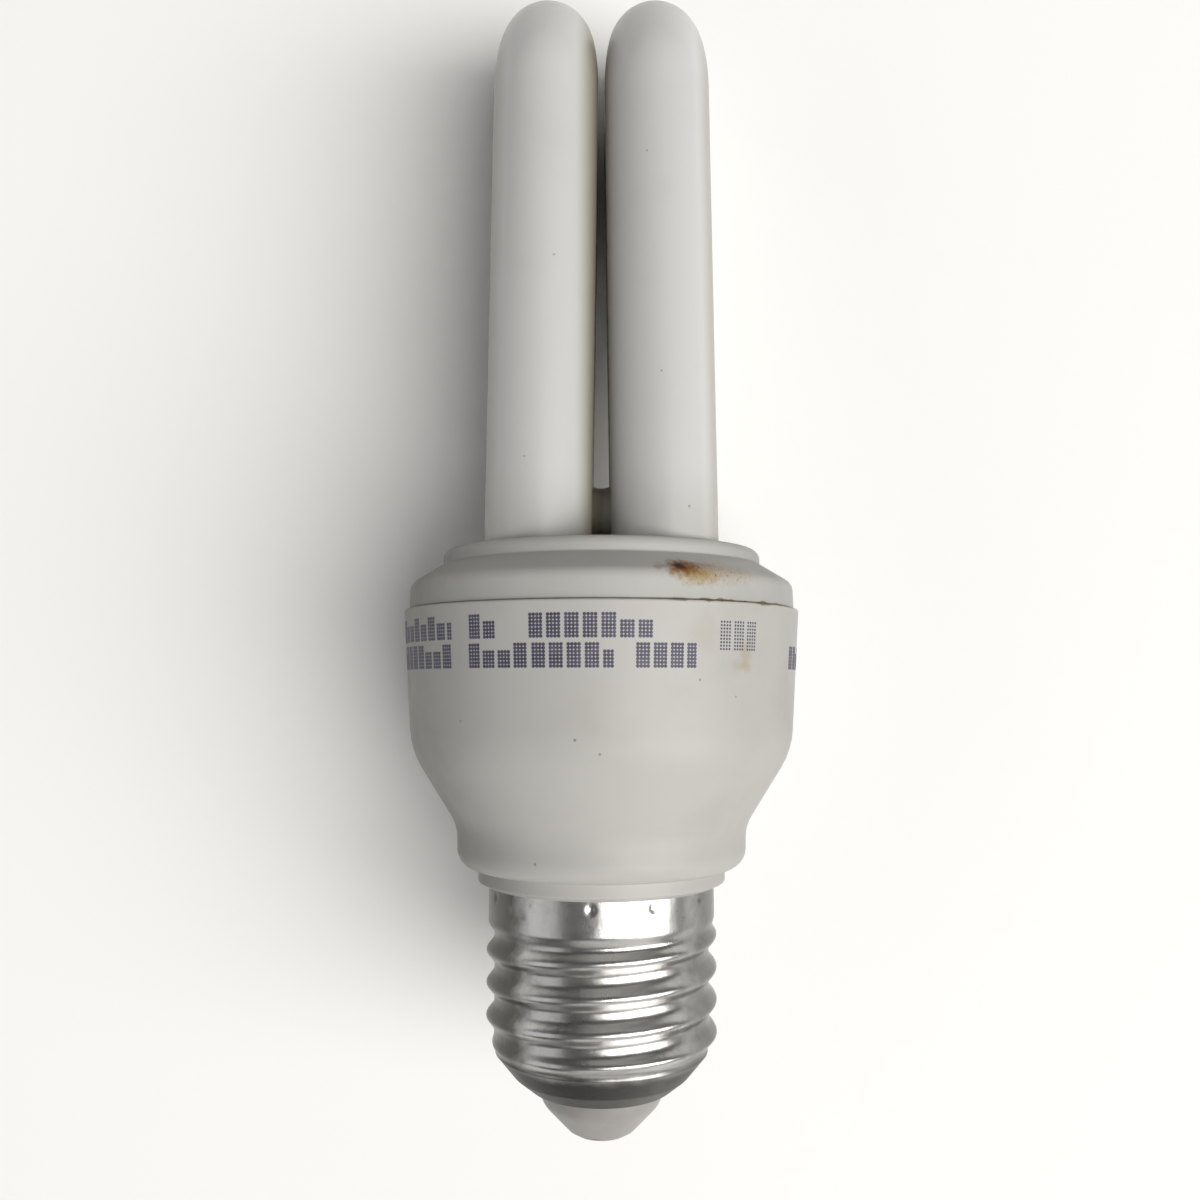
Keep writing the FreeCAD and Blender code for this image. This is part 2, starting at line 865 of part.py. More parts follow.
def circuit_board(lead_places):
    board = cylinder(board_radius(), board_bottom_z, board_top_z)
    holes = []
    for place, radius in lead_places:
        holes.append(cylinder(radius + lead_hole_clearance, board_bottom_z - 1, board_top_z + 1,
                              place.x, place.y))
    return board.cut(holes)


def solder_joints(lead_places):
    """A small cone of solder round every lead on the upper face, as separate solids."""
    joints = []
    for place, radius in lead_places:
        cone = Part.makeCone(radius + solder_radius, radius + 0.15, solder_height,
                             vector(place.x, place.y, board_top_z))
        joints.append(cone.cut(cylinder(radius, board_bottom_z, board_top_z + 2,
                                        place.x, place.y)))
    return Part.makeCompound(joints)


# Choke and drive transformer

def choke_core(upper):
    """One E shaped ferrite half, with its back away from its partner."""
    half = core_height / 2
    core = block(core_depth, core_width, 0, half)
    window = (core_width - 2 * core_leg - core_centre_leg) / 2
    for sign in (-1, 1):
        y = sign * (core_centre_leg + window) / 2
        core = core.cut(block(core_depth + 2, window, -1, half - core_back, 0, y))
    if not upper:
        core.rotate(vector(0, 0, 0), vector(1, 0, 0), 180)
    core.translate(vector(choke_x, 0, board_bottom_z - body_gap - half))
    return core


def bobbin_window():
    """Height between the two cores' backs, and the bobbin's middle height."""
    height = core_height - 2 * core_back - 2 * core_fit
    return height, board_bottom_z - body_gap - core_height / 2


def bobbin_tube(grow):
    size_x = core_depth + 2 * (core_fit + grow)
    size_y = core_centre_leg + 2 * (core_fit + grow)
    height, middle = bobbin_window()
    return block(size_x, size_y, middle - height / 2, middle + height / 2, choke_x, 0)


def flange_size():
    window = (core_width - 2 * core_leg - core_centre_leg) / 2
    return core_depth + 2 * bobbin_overhang, core_centre_leg + 2 * (window - core_fit)


def choke_bobbin():
    height, middle = bobbin_window()
    size_x, size_y = flange_size()
    body = bobbin_tube(bobbin_wall)
    top = middle + height / 2
    bottom = middle - height / 2
    body = body.fuse([
        block(size_x, size_y, top - bobbin_flange, top, choke_x, 0),
        block(size_x, size_y, bottom, bottom + bobbin_flange, choke_x, 0),
    ])
    pins = [cylinder(lead_radius, top - bobbin_flange, board_bottom_z + lead_length, x, y)
            for x, y in choke_pins()]
    return body.cut(bobbin_tube(0)).fuse(pins)


def choke_pins():
    size_x, size_y = flange_size()
    for x in (-1, 1):
        for y in (-1, 1):
            yield (choke_x + x * (size_x / 2 - 2 * lead_radius), y * (size_y / 2 - 1))


def choke_winding():
    height, middle = bobbin_window()
    half = height / 2 - bobbin_flange
    size_x = core_depth + 2 * (core_fit + bobbin_wall + winding_depth)
    size_y = core_centre_leg + 2 * (core_fit + bobbin_wall + winding_depth)
    coil = block(size_x, size_y, middle - half, middle + half, choke_x, 0)
    upright = [edge for edge in coil.Edges if abs(edge.tangentAt(0).z) > 0.9]
    return coil.makeFillet(winding_round, upright).cut(bobbin_tube(bobbin_wall))


def toroid_place():
    return polar(toroid_reach, toroid_turn)


def toroid_top_z():
    return board_bottom_z - body_gap - 2 * coil_wire_radius


def drive_toroid():
    place = toroid_place()
    top = toroid_top_z()
    ring = cylinder(toroid_outer_radius, top - toroid_height, top, place.x, place.y)
    bore = cylinder(toroid_inner_radius, top - toroid_height, top, place.x, place.y)
    return ring.cut(bore)


def toroid_windings():
    """Single turns of wire round the ring, as separate solids."""
    top = toroid_top_z()
    wire = 2 * coil_wire_radius
    loop = Part.makeBox(toroid_outer_radius - toroid_inner_radius + 2 * wire, wire,
                         toroid_height + 2 * wire,
                         vector(toroid_inner_radius - wire, -wire / 2,
                                top - toroid_height - wire))
    turns = []
    for k in range(toroid_turns):
        turn = loop.copy()
        turn.rotate(vector(0, 0, 0), vector(0, 0, 1), 360 * k / toroid_turns)
        turn.translate(toroid_place())
        turns.append(turn.cut(drive_toroid()))
    return Part.makeCompound(turns)


# Wires

def electrode_leads():
    """Two wires from each pinch seal, each run down beside its post."""
    start_z = leg_end_z - pinch_length - wire_joint_gap
    post_top_z = board_top_z + post_height
    posts = list(electrode_posts())
    starts = []
    for side, sign in sides:
        lean = math.radians(lean_angle)
        x = sign * (leg_spread + (plate_top_z - start_z) * math.tan(lean))
        for offset in (-electrode_spacing / 2, electrode_spacing / 2):
            starts.append(vector(x + offset, -leg_depth, start_z))
    for number, (start, (name, place, angle)) in enumerate(zip(starts, posts), 1):
        inward = polar(post_size / 2 + electrode_wire_radius, angle + 180)
        below = start - vector(0, 0, electrode_drop)
        beside = vector(place.x + inward.x, place.y + inward.y, post_top_z - 0.6)
        end = vector(beside.x, beside.y, board_top_z + 1.6)
        points = [start, below, beside, end]
        yield f"electrode_lead_{number}", wire_run(points, electrode_wire_radius, wire_bend)


def lead_posts():
    for name, place, angle in electrode_posts():
        post = block(post_size, post_size, board_bottom_z - post_stub, board_top_z + post_height)
        post.rotate(vector(0, 0, 0), vector(0, 0, 1), angle)
        post.translate(place)
        yield name, post


def cap_wire_places():
    return [vector(cap_wire_x, y, 0) for y in (cap_wire_spacing / 2, -cap_wire_spacing / 2)]


def centre_lead_wire():
    place = cap_wire_places()[0]
    bore_z = collar_top_z - neck_depth
    points = [
        vector(place.x, place.y, board_top_z + lead_stub),
        vector(place.x, place.y, bore_z + 6),
        vector(0, 0, insulator_top_z + 4),
        vector(0, 0, contact_height),
    ]
    return wire_run(points, cap_wire_radius, cap_wire_bend)


def shell_lead_wire():
    """Runs down the neck's bore, out under its edge and along the inside of the shell."""
    place = cap_wire_places()[1]
    fit_radius, neck = housing_neck()
    bore_radius = neck[0][0] - neck_wall
    bottom_z = neck[0][1]
    shell_reach = thread_root_radius - sheet_wall - wire_joint_gap - cap_wire_radius
    down_y = -(bore_radius - cap_wire_radius - shell_wire_clearance)
    turn_z = bottom_z - shell_wire_turn_drop
    points = [
        vector(place.x, place.y, board_top_z + lead_stub),
        vector(place.x, place.y, collar_top_z - 1),
        vector(0, down_y, bottom_z + 1),
        vector(0, down_y, turn_z),
        vector(0, -shell_reach, turn_z - shell_wire_slant),
        vector(0, -shell_reach, turn_z - shell_wire_slant - shell_wire_contact_length),
    ]
    return wire_run(points, cap_wire_radius, 0.9)


# Assembly

def all_pieces():
    glass = discharge_tube()
    yield "discharge_tube", glass
    yield "tube_holder", tube_holder()
    yield "tube_cement", tube_cement(glass)
    yield "ballast_housing", ballast_housing()
    yield "screw_shell", screw_shell()
    yield "contact_insulator", contact_insulator()
    yield "centre_contact", centre_contact()
    lead_places = []
    for name, solid, leads, place, angle in board_parts():
        turn = math.radians(angle)
        for x in leads:
            at = place + vector(x * math.cos(turn), x * math.sin(turn), 0)
            lead_places.append((at, lead_radius))
        yield name, on_board(solid, place, angle)
    yield "choke_core_upper", choke_core(True)
    yield "choke_core_lower", choke_core(False)
    yield "choke_bobbin", choke_bobbin()
    yield "choke_winding", choke_winding()
    yield "drive_toroid", drive_toroid()
    yield "toroid_windings", toroid_windings()
    lead_places += [(vector(x, y, 0), lead_radius) for x, y in choke_pins()]
    lead_places += [(place, cap_wire_radius) for place in cap_wire_places()]
    yield "solder_joints", solder_joints(lead_places)
    post_radius = post_size / math.sqrt(2)
    lead_places += [(place, post_radius) for name, place, angle in electrode_posts()]
    yield "circuit_board", circuit_board(lead_places)
    yield from lead_posts()
    yield from electrode_leads()
    yield "centre_lead_wire", centre_lead_wire()
    yield "shell_lead_wire", shell_lead_wire()


def resting_tilt():
    """Angle in degrees at which a floor touches both the housing's rim and the bends."""
    along = bend_z - (seam_z - rim_edge)
    across = rim_radius - rim_edge
    drop = leg_depth + tube_radius - rim_edge
    return math.degrees(math.acos(drop / math.hypot(along, across)) - math.atan2(along, across))


def place_all(pieces):
    """Lays the upright lamp down on the floor z = 0, centred over the origin."""
    for name, shape in pieces:
        shape.rotate(vector(0, 0, 0), vector(1, 0, 0), -90 - resting_tilt())
    outside = [shape for name, shape in pieces if name in outer_names]
    bounds = Part.makeCompound(outside).optimalBoundingBox(False, False)
    shift = vector(-bounds.Center.x, -bounds.Center.y, -bounds.ZMin)
    for name, shape in pieces:
        shape.translate(shift)


outer_names = ("discharge_tube", "tube_holder", "ballast_housing", "screw_shell",
               "contact_insulator", "centre_contact")
pieces = list(all_pieces())
place_all(pieces)
os.makedirs("parts", exist_ok=True)
for name, shape in pieces:
    shape.exportStep(f"parts/{name}.step")
    print(name, "volume", round(shape.Volume, 2), "solids", len(shape.Solids), shape.isValid())
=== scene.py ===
import json
import math
import bmesh
import bpy
from mathutils import Matrix, Vector


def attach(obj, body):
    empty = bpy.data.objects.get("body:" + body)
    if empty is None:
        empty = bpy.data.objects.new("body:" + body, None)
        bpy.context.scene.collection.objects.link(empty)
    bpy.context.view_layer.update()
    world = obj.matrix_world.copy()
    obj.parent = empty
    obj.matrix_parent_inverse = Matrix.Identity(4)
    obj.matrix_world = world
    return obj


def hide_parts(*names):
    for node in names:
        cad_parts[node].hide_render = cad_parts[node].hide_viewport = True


# A compact fluorescent lamp with two U shaped tubes, lying on its side. Each piece is drawn
# upright in the lamp's own millimetres: z = 0 at the tip, z towards the tubes, x across the
# pair of tubes, -y the front. Its finished mesh is then laid down where the frame's lamp lies.

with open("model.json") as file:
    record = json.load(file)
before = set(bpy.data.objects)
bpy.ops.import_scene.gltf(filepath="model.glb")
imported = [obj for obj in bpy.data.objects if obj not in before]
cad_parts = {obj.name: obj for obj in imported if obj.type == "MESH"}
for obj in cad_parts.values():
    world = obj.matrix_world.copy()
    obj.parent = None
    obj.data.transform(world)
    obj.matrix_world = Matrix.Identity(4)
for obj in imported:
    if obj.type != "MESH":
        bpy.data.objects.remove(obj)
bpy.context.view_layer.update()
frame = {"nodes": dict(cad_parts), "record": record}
scene = bpy.context.scene
print("frame loaded:", len(frame["nodes"]), "nodes")

# Where the lamp lies, from the mount at its tip
millimetre = 0.001
mounts = {mount["name"]: mount for mount in frame["record"]["mounts"]}
tipPlace = Vector(mounts["centre_contact"]["pos_m"])
lampUp = -Vector(mounts["centre_contact"]["axis"])
lampTurn = -(math.pi / 2 + math.atan2(-lampUp.z, lampUp.y))
layDown = (Matrix.Translation(tipPlace) @ Matrix.Rotation(lampTurn, 4, "X")
           @ Matrix.Scale(millimetre, 4))


# Node trees, for materials and for geometry

def operator(operation, reflected=False):
    # A method that does maths on a flow and another value, or on the two the other way round
    def act(flow, other):
        pair = (other, flow) if reflected else (flow, other)
        return flow.graph.maths(operation, *pair)
    return act


class Flow:
    # A value on its way through the nodes of one tree, so that sums can be written as sums
    def __init__(self, graph, socket):
        self.graph = graph
        self.socket = socket

    __add__, __radd__ = operator("ADD"), operator("ADD", True)
    __sub__, __rsub__ = operator("SUBTRACT"), operator("SUBTRACT", True)
    __mul__, __rmul__ = operator("MULTIPLY"), operator("MULTIPLY", True)
    __truediv__, __rtruediv__ = operator("DIVIDE"), operator("DIVIDE", True)
    __pow__ = operator("POWER")

    def __neg__(self):
        return self * -1.0


class Graph:
    def __init__(self, tree):
        self.tree = tree
        tree.nodes.clear()

    def add(self, kind, sockets=None, output=0, **settings):
        node = self.tree.nodes.new(kind)
        for key, value in settings.items():
            setattr(node, key, value)
        for key, value in (sockets or {}).items():
            if isinstance(value, Flow):
                self.tree.links.new(value.socket, node.inputs[key])
            else:
                node.inputs[key].default_value = value
        return Flow(self, node.outputs[output]) if len(node.outputs) else node

    def maths(self, operation, *values):
        return self.add("ShaderNodeMath", dict(enumerate(values)), operation=operation)

    def smooth(self, value, low, high):
        # 0 below low, 1 above high, and an easy slope between them
        sockets = {"Value": value, "From Min": low, "From Max": high}
        return self.add("ShaderNodeMapRange", sockets, interpolation_type="SMOOTHSTEP")

    def band(self, value, rise, fall):
        # 1 between two slopes and 0 outside them
        return self.smooth(value, *rise) * (1 - self.smooth(value, *fall))

    def swing(self, noise, amount):
        # A noise as a change to both sides of 0
        return (noise - 0.5) * amount

    def length(self, across, up):
        return self.maths("SQRT", across * across + up * up)

    def split(self, vector):
        first = self.add("ShaderNodeSeparateXYZ", {0: vector})
        return [Flow(self, socket) for socket in first.socket.node.outputs]

    def noise(self, place, scale, detail=2.0, roughness=0.5):
        return self.add("ShaderNodeTexNoise", {
            "Vector": place, "Scale": scale, "Detail": detail, "Roughness": roughness})

    def mix(self, share, first, second):
        # A colour mix has its factor at input 0, its colours at 6 and 7, its result at output 2
        return self.add("ShaderNodeMix", {0: share, 6: first, 7: second}, 2, data_type="RGBA")


def geometryTree(name, inputs):
    # An empty geometry tree with named inputs; gives its graph, its input node and the sockets
    tree = bpy.data.node_groups.new(name, "GeometryNodeTree")
    tree.interface.new_socket(name="Geometry", in_out="INPUT", socket_type="NodeSocketGeometry")
    tree.interface.new_socket(name="Geometry", in_out="OUTPUT", socket_type="NodeSocketGeometry")
    sockets = {}
    for label, value in inputs.items():
        kind = "NodeSocketInt" if isinstance(value, int) else "NodeSocketFloat"
        sockets[label] = tree.interface.new_socket(name=label, in_out="INPUT", socket_type=kind)
        sockets[label].default_value = value
    graph = Graph(tree)
    given = graph.add("NodeGroupInput").socket.node
    flows = {socket.name: Flow(graph, socket) for socket in given.outputs if socket.name}
    return graph, flows, sockets


def addModifier(piece, tree, sockets, values):
    modifier = piece.modifiers.new(tree.name, "NODES")
    modifier.node_group = tree
    for label, value in values.items():
        modifier[sockets[label].identifier] = value


# Meshes

def toScene(name, mesh):
    piece = bpy.data.objects.new(name, mesh)
    scene.collection.objects.link(piece)
    return piece


def bake(piece):
    # The mesh that the piece's modifiers make, with the modifiers taken off
    bpy.context.view_layer.update()
    seen = piece.evaluated_get(bpy.context.evaluated_depsgraph_get())
    mesh = bpy.data.meshes.new_from_object(seen)
    piece.modifiers.clear()
    piece.data = mesh


def smoothShade(mesh, sharpDegrees=35.0):
    mesh.shade_smooth()
    mesh.set_sharp_from_angle(angle=math.radians(sharpDegrees))


def layPiece(piece, material, slot, *nodes):
    # Lays a finished piece down in the row frame, gives it its material and hides the frame's
    # nodes it stands for
    piece.data.transform(layDown)
    piece.data.materials.clear()
    piece.data.materials.append(material)
    piece.data.update()
    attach(piece, "root")
    if nodes:
        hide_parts(*nodes)
    print("laid:", piece.name, len(piece.data.polygons), "faces")


def roundedLine(corners, hold=0.12, arcStep=8.0):
    # (radius, z) places along a closed outline of (radius, z, round) corners. Each straight
    # run gets a place near both its ends, which keeps the shading of flats true.
    groups = []
    count = len(corners)
    for i in range(count):
        corner = Vector(corners[i][:2])
        rounding = corners[i][2]
        if rounding <= 0:
            groups.append([corner])
            continue
        back = (Vector(corners[i - 1][:2]) - corner).normalized()
        ahead = (Vector(corners[(i + 1) % count][:2]) - corner).normalized()
        half = back.angle(ahead) / 2
        cut = rounding / math.tan(half)
        centre = corner + (back + ahead).normalized() * (rounding / math.sin(half))
        start = corner + back * cut - centre
        end = corner + ahead * cut - centre
        first = math.atan2(start.y, start.x)
        turn = (math.atan2(end.y, end.x) - first + math.pi) % (2 * math.pi) - math.pi
        steps = max(2, math.ceil(abs(math.degrees(turn)) / arcStep))
        angles = [first + turn * k / steps for k in range(steps + 1)]
        groups.append([centre + rounding * Vector((math.cos(a), math.sin(a))) for a in angles])
    line = []
    for group, after in zip(groups, groups[1:] + groups[:1]):
        line += group
        run = after[0] - group[-1]
        if run.length > 4 * hold:
            line.append(group[-1] + run.normalized() * hold)
            line.append(after[0] - run.normalized() * hold)
    return line


def turnedMesh(name, line, around=192):
    # A closed solid of revolution about the lamp's axis from (radius, z) places
    maker = bmesh.new()
    rings = []
    for radius, z in line:
        if radius < 1e-6:
            rings.append([maker.verts.new((0, 0, z))] * around)
            continue
        angles = [2 * math.pi * k / around for k in range(around)]
        rings.append([maker.verts.new((radius * math.cos(a), radius * math.sin(a), z))
                      for a in angles])
    for lower, upper in zip(rings, rings[1:] + rings[:1]):
        addBand(maker, lower, upper)
    return meshFrom(maker, name)


def addBand(maker, lower, upper):
    around = len(lower)
    for k in range(around):
        after = (k + 1) % around
        corners = list(dict.fromkeys((lower[k], lower[after], upper[after], upper[k])))
        if len(corners) > 2:
            maker.faces.new(corners)


def meshFrom(maker, name):
    bmesh.ops.recalc_face_normals(maker, faces=maker.faces)
    mesh = bpy.data.meshes.new(name)
    maker.to_mesh(mesh)
    maker.free()
    return mesh


def combine(piece, tool, operation):
    # Cuts the tool from the piece, or joins it on, and drops the tool
    modifier = piece.modifiers.new(operation, "BOOLEAN")
    modifier.operation = operation
    modifier.solver = "EXACT"
    modifier.object = tool
    bake(piece)
    bpy.data.objects.remove(tool)


def inset(points, distance):
    # The (radius, z) line moved towards the axis by a distance square to itself
    normals = []
    for start, end in zip(points, points[1:]):
        along = (Vector(end) - Vector(start)).normalized()
        normals.append(Vector((-along.y, along.x)))
    moved = []
    for i, point in enumerate(points):
        a = normals[max(i - 1, 0)]
        b = normals[min(i, len(normals) - 1)]
        moved.append(Vector(point) + (a + b) * distance / (1 + a.dot(b)))
    return moved


# Materials

def lampPlace(graph):
    # Place in the lamp's own millimetres
    place = graph.add("ShaderNodeTexCoord", output="Object")
    return graph.add("ShaderNodeMapping", {
        "Vector": place, "Location": tipPlace, "Rotation": (lampTurn, 0, 0),
        "Scale": (millimetre,) * 3}, vector_type="TEXTURE")


def lampAngle(graph, x, y):
    # Angle round the lamp in degrees from the front, growing to the right
    return graph.maths("ARCTAN2", x, -y) * math.degrees(1)


def newMaterial(name):
    material = bpy.data.materials.new(name)
    material.use_nodes = True
    return material, Graph(material.node_tree)


def surface(graph, sockets, height=None, depth=1.0):
    # depth is how far a height of 1 stands out, in millimetres
    if height is not None:
        sockets["Normal"] = graph.add("ShaderNodeBump", {
            "Height": height, "Distance": depth * millimetre, "Strength": 1.0}, "Normal")
    shader = graph.add("ShaderNodeBsdfPrincipled", sockets, "BSDF")
    graph.add("ShaderNodeOutputMaterial", {"Surface": shader})


markCore = 0.2   # how far out a mark keeps its full strength, as a share of its size


def blot(graph, angle, z, radius, spot, ragged=0.0):
    # A soft mark on a surface of that radius round the lamp, 1 at its middle: the spot is its
    # angle, z, half width and half height, and ragged moves its edge in and out
    middle, level, halfWidth, halfHeight = spot
    across = (angle - middle) * (radius * math.radians(1) / halfWidth)
    up = (z - level) / halfHeight
    return 1 - graph.smooth(graph.length(across, up) + ragged, markCore, 1.0)


# In the looks below a noise is (scale, detail, roughness), and an edge, rise, reach or slope is
# where a change starts and where it is complete

plasticLook = {
    "moulded": (0.462, 0.464, 0.443, 1), "grime": (0.36, 0.345, 0.31, 1),
    # The darkest tone is painted shade that darkens the flanks and back, and any slope band
    "paintedShade": (0.15, 0.146, 0.134, 1), "paintedShadeLeft": 0.9, "paintedShadeRight": 0.45,
    "leftFlank": (20.0, 84.0), "rightFlank": (12.0, 80.0), "paintedShadeMiddle": 0.9, "paintedShadeCloud": 0.6,
    "cloud": (0.09, 4.0, 0.6), "cloudEdge": (0.45, 0.8), "clouded": 0.28, "roughCloud": 0.16,
    "grain": (5.0, 2.0, 0.5), "grainEdge": (0.62, 0.8), "grained": 0.06, "roughGrain": 0.05,
    "roughness": 0.42, "ior": 1.33, "grainDepth": 0.004, "wave": (0.22, 1.0, 0.5),
    "waveDepth": 0.06, "slopeShade": (), "sprays": (), "scorches": (), "specks": ()}


def plasticBase(graph, lamp, angle, look):
    # Moulded plastic with a little grime, and painted shade that darkens its flanks and back:
    # gives its colour, roughness and bump height
    cloud = graph.noise(lamp, *look["cloud"])
    grain = graph.noise(lamp, *look["grain"])
    wave = graph.noise(lamp, *look["wave"])
    grimy = (graph.smooth(cloud, *look["cloudEdge"]) * look["clouded"]
             + graph.smooth(grain, *look["grainEdge"]) * look["grained"])
    colour = graph.mix(grimy, look["moulded"], look["grime"])
    # Painted shade on the left and right flanks, patchy with the cloud
    left = graph.smooth(-angle, *look["leftFlank"]) * look["paintedShadeLeft"]
    right = graph.smooth(angle, *look["rightFlank"]) * look["paintedShadeRight"]
    uneven = look["paintedShadeMiddle"] + graph.swing(cloud, look["paintedShadeCloud"])
    colour = graph.mix(graph.maths("MAXIMUM", left, right) * uneven, colour, look["paintedShade"])
    rough = (look["roughness"] + graph.swing(cloud, look["roughCloud"])
             + graph.swing(grain, look["roughGrain"]))
    height = grain * look["grainDepth"] + wave * look["waveDepth"]
    return colour, rough, height


seamLook = {
    "z": 59.72, "dirt": (0.17, 0.125, 0.07, 1), "strength": 0.55, "thin": 0.095,
    "softness": (0.5, 1.2), "clumps": (0.55, 3.0, 0.5), "clumpEdge": (0.42, 0.7), "clump": 0.03,
    "zoneFrom": (10.0, 26.0), "zoneTo": (50.0, 68.0), "zoneClump": 0.21, "zoneStrength": 0.36,
    "roughened": 0.3}


def seamed(graph, lamp, z, angle, colour, rough, height):
    # Ends a plastic with the dirty line between housing and holder over everything else,
    # thicker in clumps on the right
    look = seamLook
    clumps = graph.smooth(graph.noise(lamp, *look["clumps"]), *look["clumpEdge"])
    zone = graph.band(angle, look["zoneFrom"], look["zoneTo"])
    reach = look["thin"] + clumps * (look["clump"] + zone * look["zoneClump"])
    far = graph.maths("ABSOLUTE", z - look["z"]) / reach
    line = 1 - graph.smooth(far, *look["softness"])
    dirt = line * (look["strength"] + zone * look["zoneStrength"])
    surface(graph, {"Base Color": graph.mix(dirt, colour, look["dirt"]),
                    "Roughness": rough + dirt * look["roughened"],
                    "IOR": plasticLook["ior"]}, height)


# A spot is (angle, z, half width, half height), a band of painted shade on a slope (rise,
# fall, share), a scorch (spot, how much rougher), a speck (angle, z, size), and a stain or
# spray (spot, share, colour), the lowest first
holderMarks = {
    # Painted shade on the holder's flanks and on the slope of its cone that faces the tubes
    "paintedShadeLeft": 1.0, "paintedShadeRight": 0.55, "slopeShade": (((62.2, 63.2), (64.7, 65.1), 0.2),),
    "radius": 21.0, "edge": (1.6, 3.0, 0.6), "ragged": 0.9,
    "stains": (((34.0, 62.8, 6.6, 1.9), 0.36, "tan"), ((26.0, 62.3, 3.4, 1.45), 0.78, "tan"),
               ((27.5, 63.4, 3.4, 0.55), 0.5, "rust"), ((22.2, 63.0, 2.6, 1.3), 0.9, "rust"),
               ((15.2, 63.0, 0.7, 0.45), 0.4, "rust"),
               ((21.7, 63.2, 0.95, 0.68), 1.0, "burnt")),
    "sprays": (((31.5, 62.6, 7.5, 2.4), 0.75, "rust"),), "flecks": (3.4, 3.0, 0.5),
    "fleckEdge": (0.6, 0.68), "scorches": (((22.2, 63.0, 2.6, 1.3), 0.3),),
    "burnt": (0.034, 0.011, 0.001, 1), "rust": (0.19, 0.064, 0.005, 1),
    "tan": (0.33, 0.215, 0.075, 1)}

housingMarks = {
    "moulded": (0.472, 0.462, 0.440, 1), "radius": 22.3, "edge": (0.9, 3.0, 0.6), "ragged": 1.0,
    "stains": (((41.3, 54.2, 1.15, 2.2), 0.5, "tan"), ((39.7, 53.1, 2.0, 0.9), 0.38, "tan"),
               ((27.0, 56.5, 2.2, 3.0), 0.14, "tan")),
    "specks": ((-6.9, 45.8, 0.24), (-0.5, 44.4, 0.2), (26.1, 51.7, 0.2), (-24.5, 32.8, 0.26),
               (38.0, 50.0, 0.16), (-41.0, 47.5, 0.18)),
    "speckShare": 0.7, "tan": (0.335, 0.27, 0.18, 1), "dark": (0.13, 0.11, 0.095, 1)}


def plastic(name, marks):
    material, graph = newMaterial(name)
    look = {**plasticLook, **marks}
    lamp = lampPlace(graph)
    x, y, z = graph.split(lamp)
    angle = lampAngle(graph, x, y)
    colour, rough, height = plasticBase(graph, lamp, angle, look)
    ragged = graph.swing(graph.noise(lamp, *look["edge"]), look["ragged"])
    # Painted shade in a band on the cone's slope
    for rise, fall, share in look["slopeShade"]:
        colour = graph.mix(graph.band(z, rise, fall) * share, colour, look["paintedShade"])
    for spot, share, tone in look["stains"]:
        mask = blot(graph, angle, z, look["radius"], spot, ragged)
        colour = graph.mix(mask * share, colour, look[tone])
    for spot, share, tone in look["sprays"]:
        flecks = graph.smooth(graph.noise(lamp, *look["flecks"]), *look["fleckEdge"])
        mask = flecks * blot(graph, angle, z, look["radius"], spot, ragged)
        colour = graph.mix(mask * share, colour, look[tone])
    for spot, rougher in look["scorches"]:
        rough = rough + blot(graph, angle, z, look["radius"], spot, ragged) * rougher
    for place, level, size in look["specks"]:
        mask = blot(graph, angle, z, look["radius"], (place, level, size, size))
        colour = graph.mix(mask * look["speckShare"], colour, look["dark"])
    seamed(graph, lamp, z, angle, colour, rough, height)
    return material


# A rise is in millimetres above the tip, and a reach in millimetres from the middle of the
# pair of tubes. A speck is (x, z, size).
glassLook = {
    # The tone for the bends is painted light on the tops of the tubes
    "coating": (0.552, 0.548, 0.538, 1), "bend": (0.61, 0.606, 0.598, 1),
    "bendRise": (112.0, 132.0), "shade": (0.37, 0.36, 0.335, 1), "shadeRise": (66.6, 75.6),
    "shaded": 0.5, "cloud": (0.14, 3.0, 0.5), "cloudEdge": (0.5, 0.85), "clouded": 0.12,
    # The edge tone is painted shade on the outer sides of the tubes
    "edge": (0.30, 0.285, 0.25, 1), "shadedEdgeReach": (11.0, 12.9), "shadedEdgeShare": 0.8,
    # Painted shade also darkens the sides of the tubes that face each other across the slot
    "plateZ": 66.6, "lean": 0.82, "slotShade": (0.27, 0.242, 0.18, 1),
    "innerReach": (1.0, 4.2), "innerFront": 0.06, "innerBack": 0.75, "backReach": (1.0, 6.0),
    "lowBack": 0.9, "leftReach": (-0.5, 0.5), "slotReach": (0.8, 3.0), "slotShare": 0.85,
    "mostSlotShade": 0.95, "speck": (0.16, 0.14, 0.11, 1), "speckShare": 0.6, "speckCore": 0.3,
    "specks": ((9.3, 70.1, 0.22), (6.4, 84.6, 0.17), (-5.1, 97.3, 0.18), (-8.2, 75.4, 0.15),
               (4.9, 108.8, 0.16)),
    "roughness": 0.5, "grain": (3.5, 2.0, 0.5), "roughGrain": 0.1, "ior": 1.35, "coat": 0.5,
    "coatRoughness": 0.24, "coatIor": 1.5, "film": (0.5, 3.0, 0.5), "filmEdge": (0.55, 0.8),
    "filmShare": 0.2, "relief": 0.05}


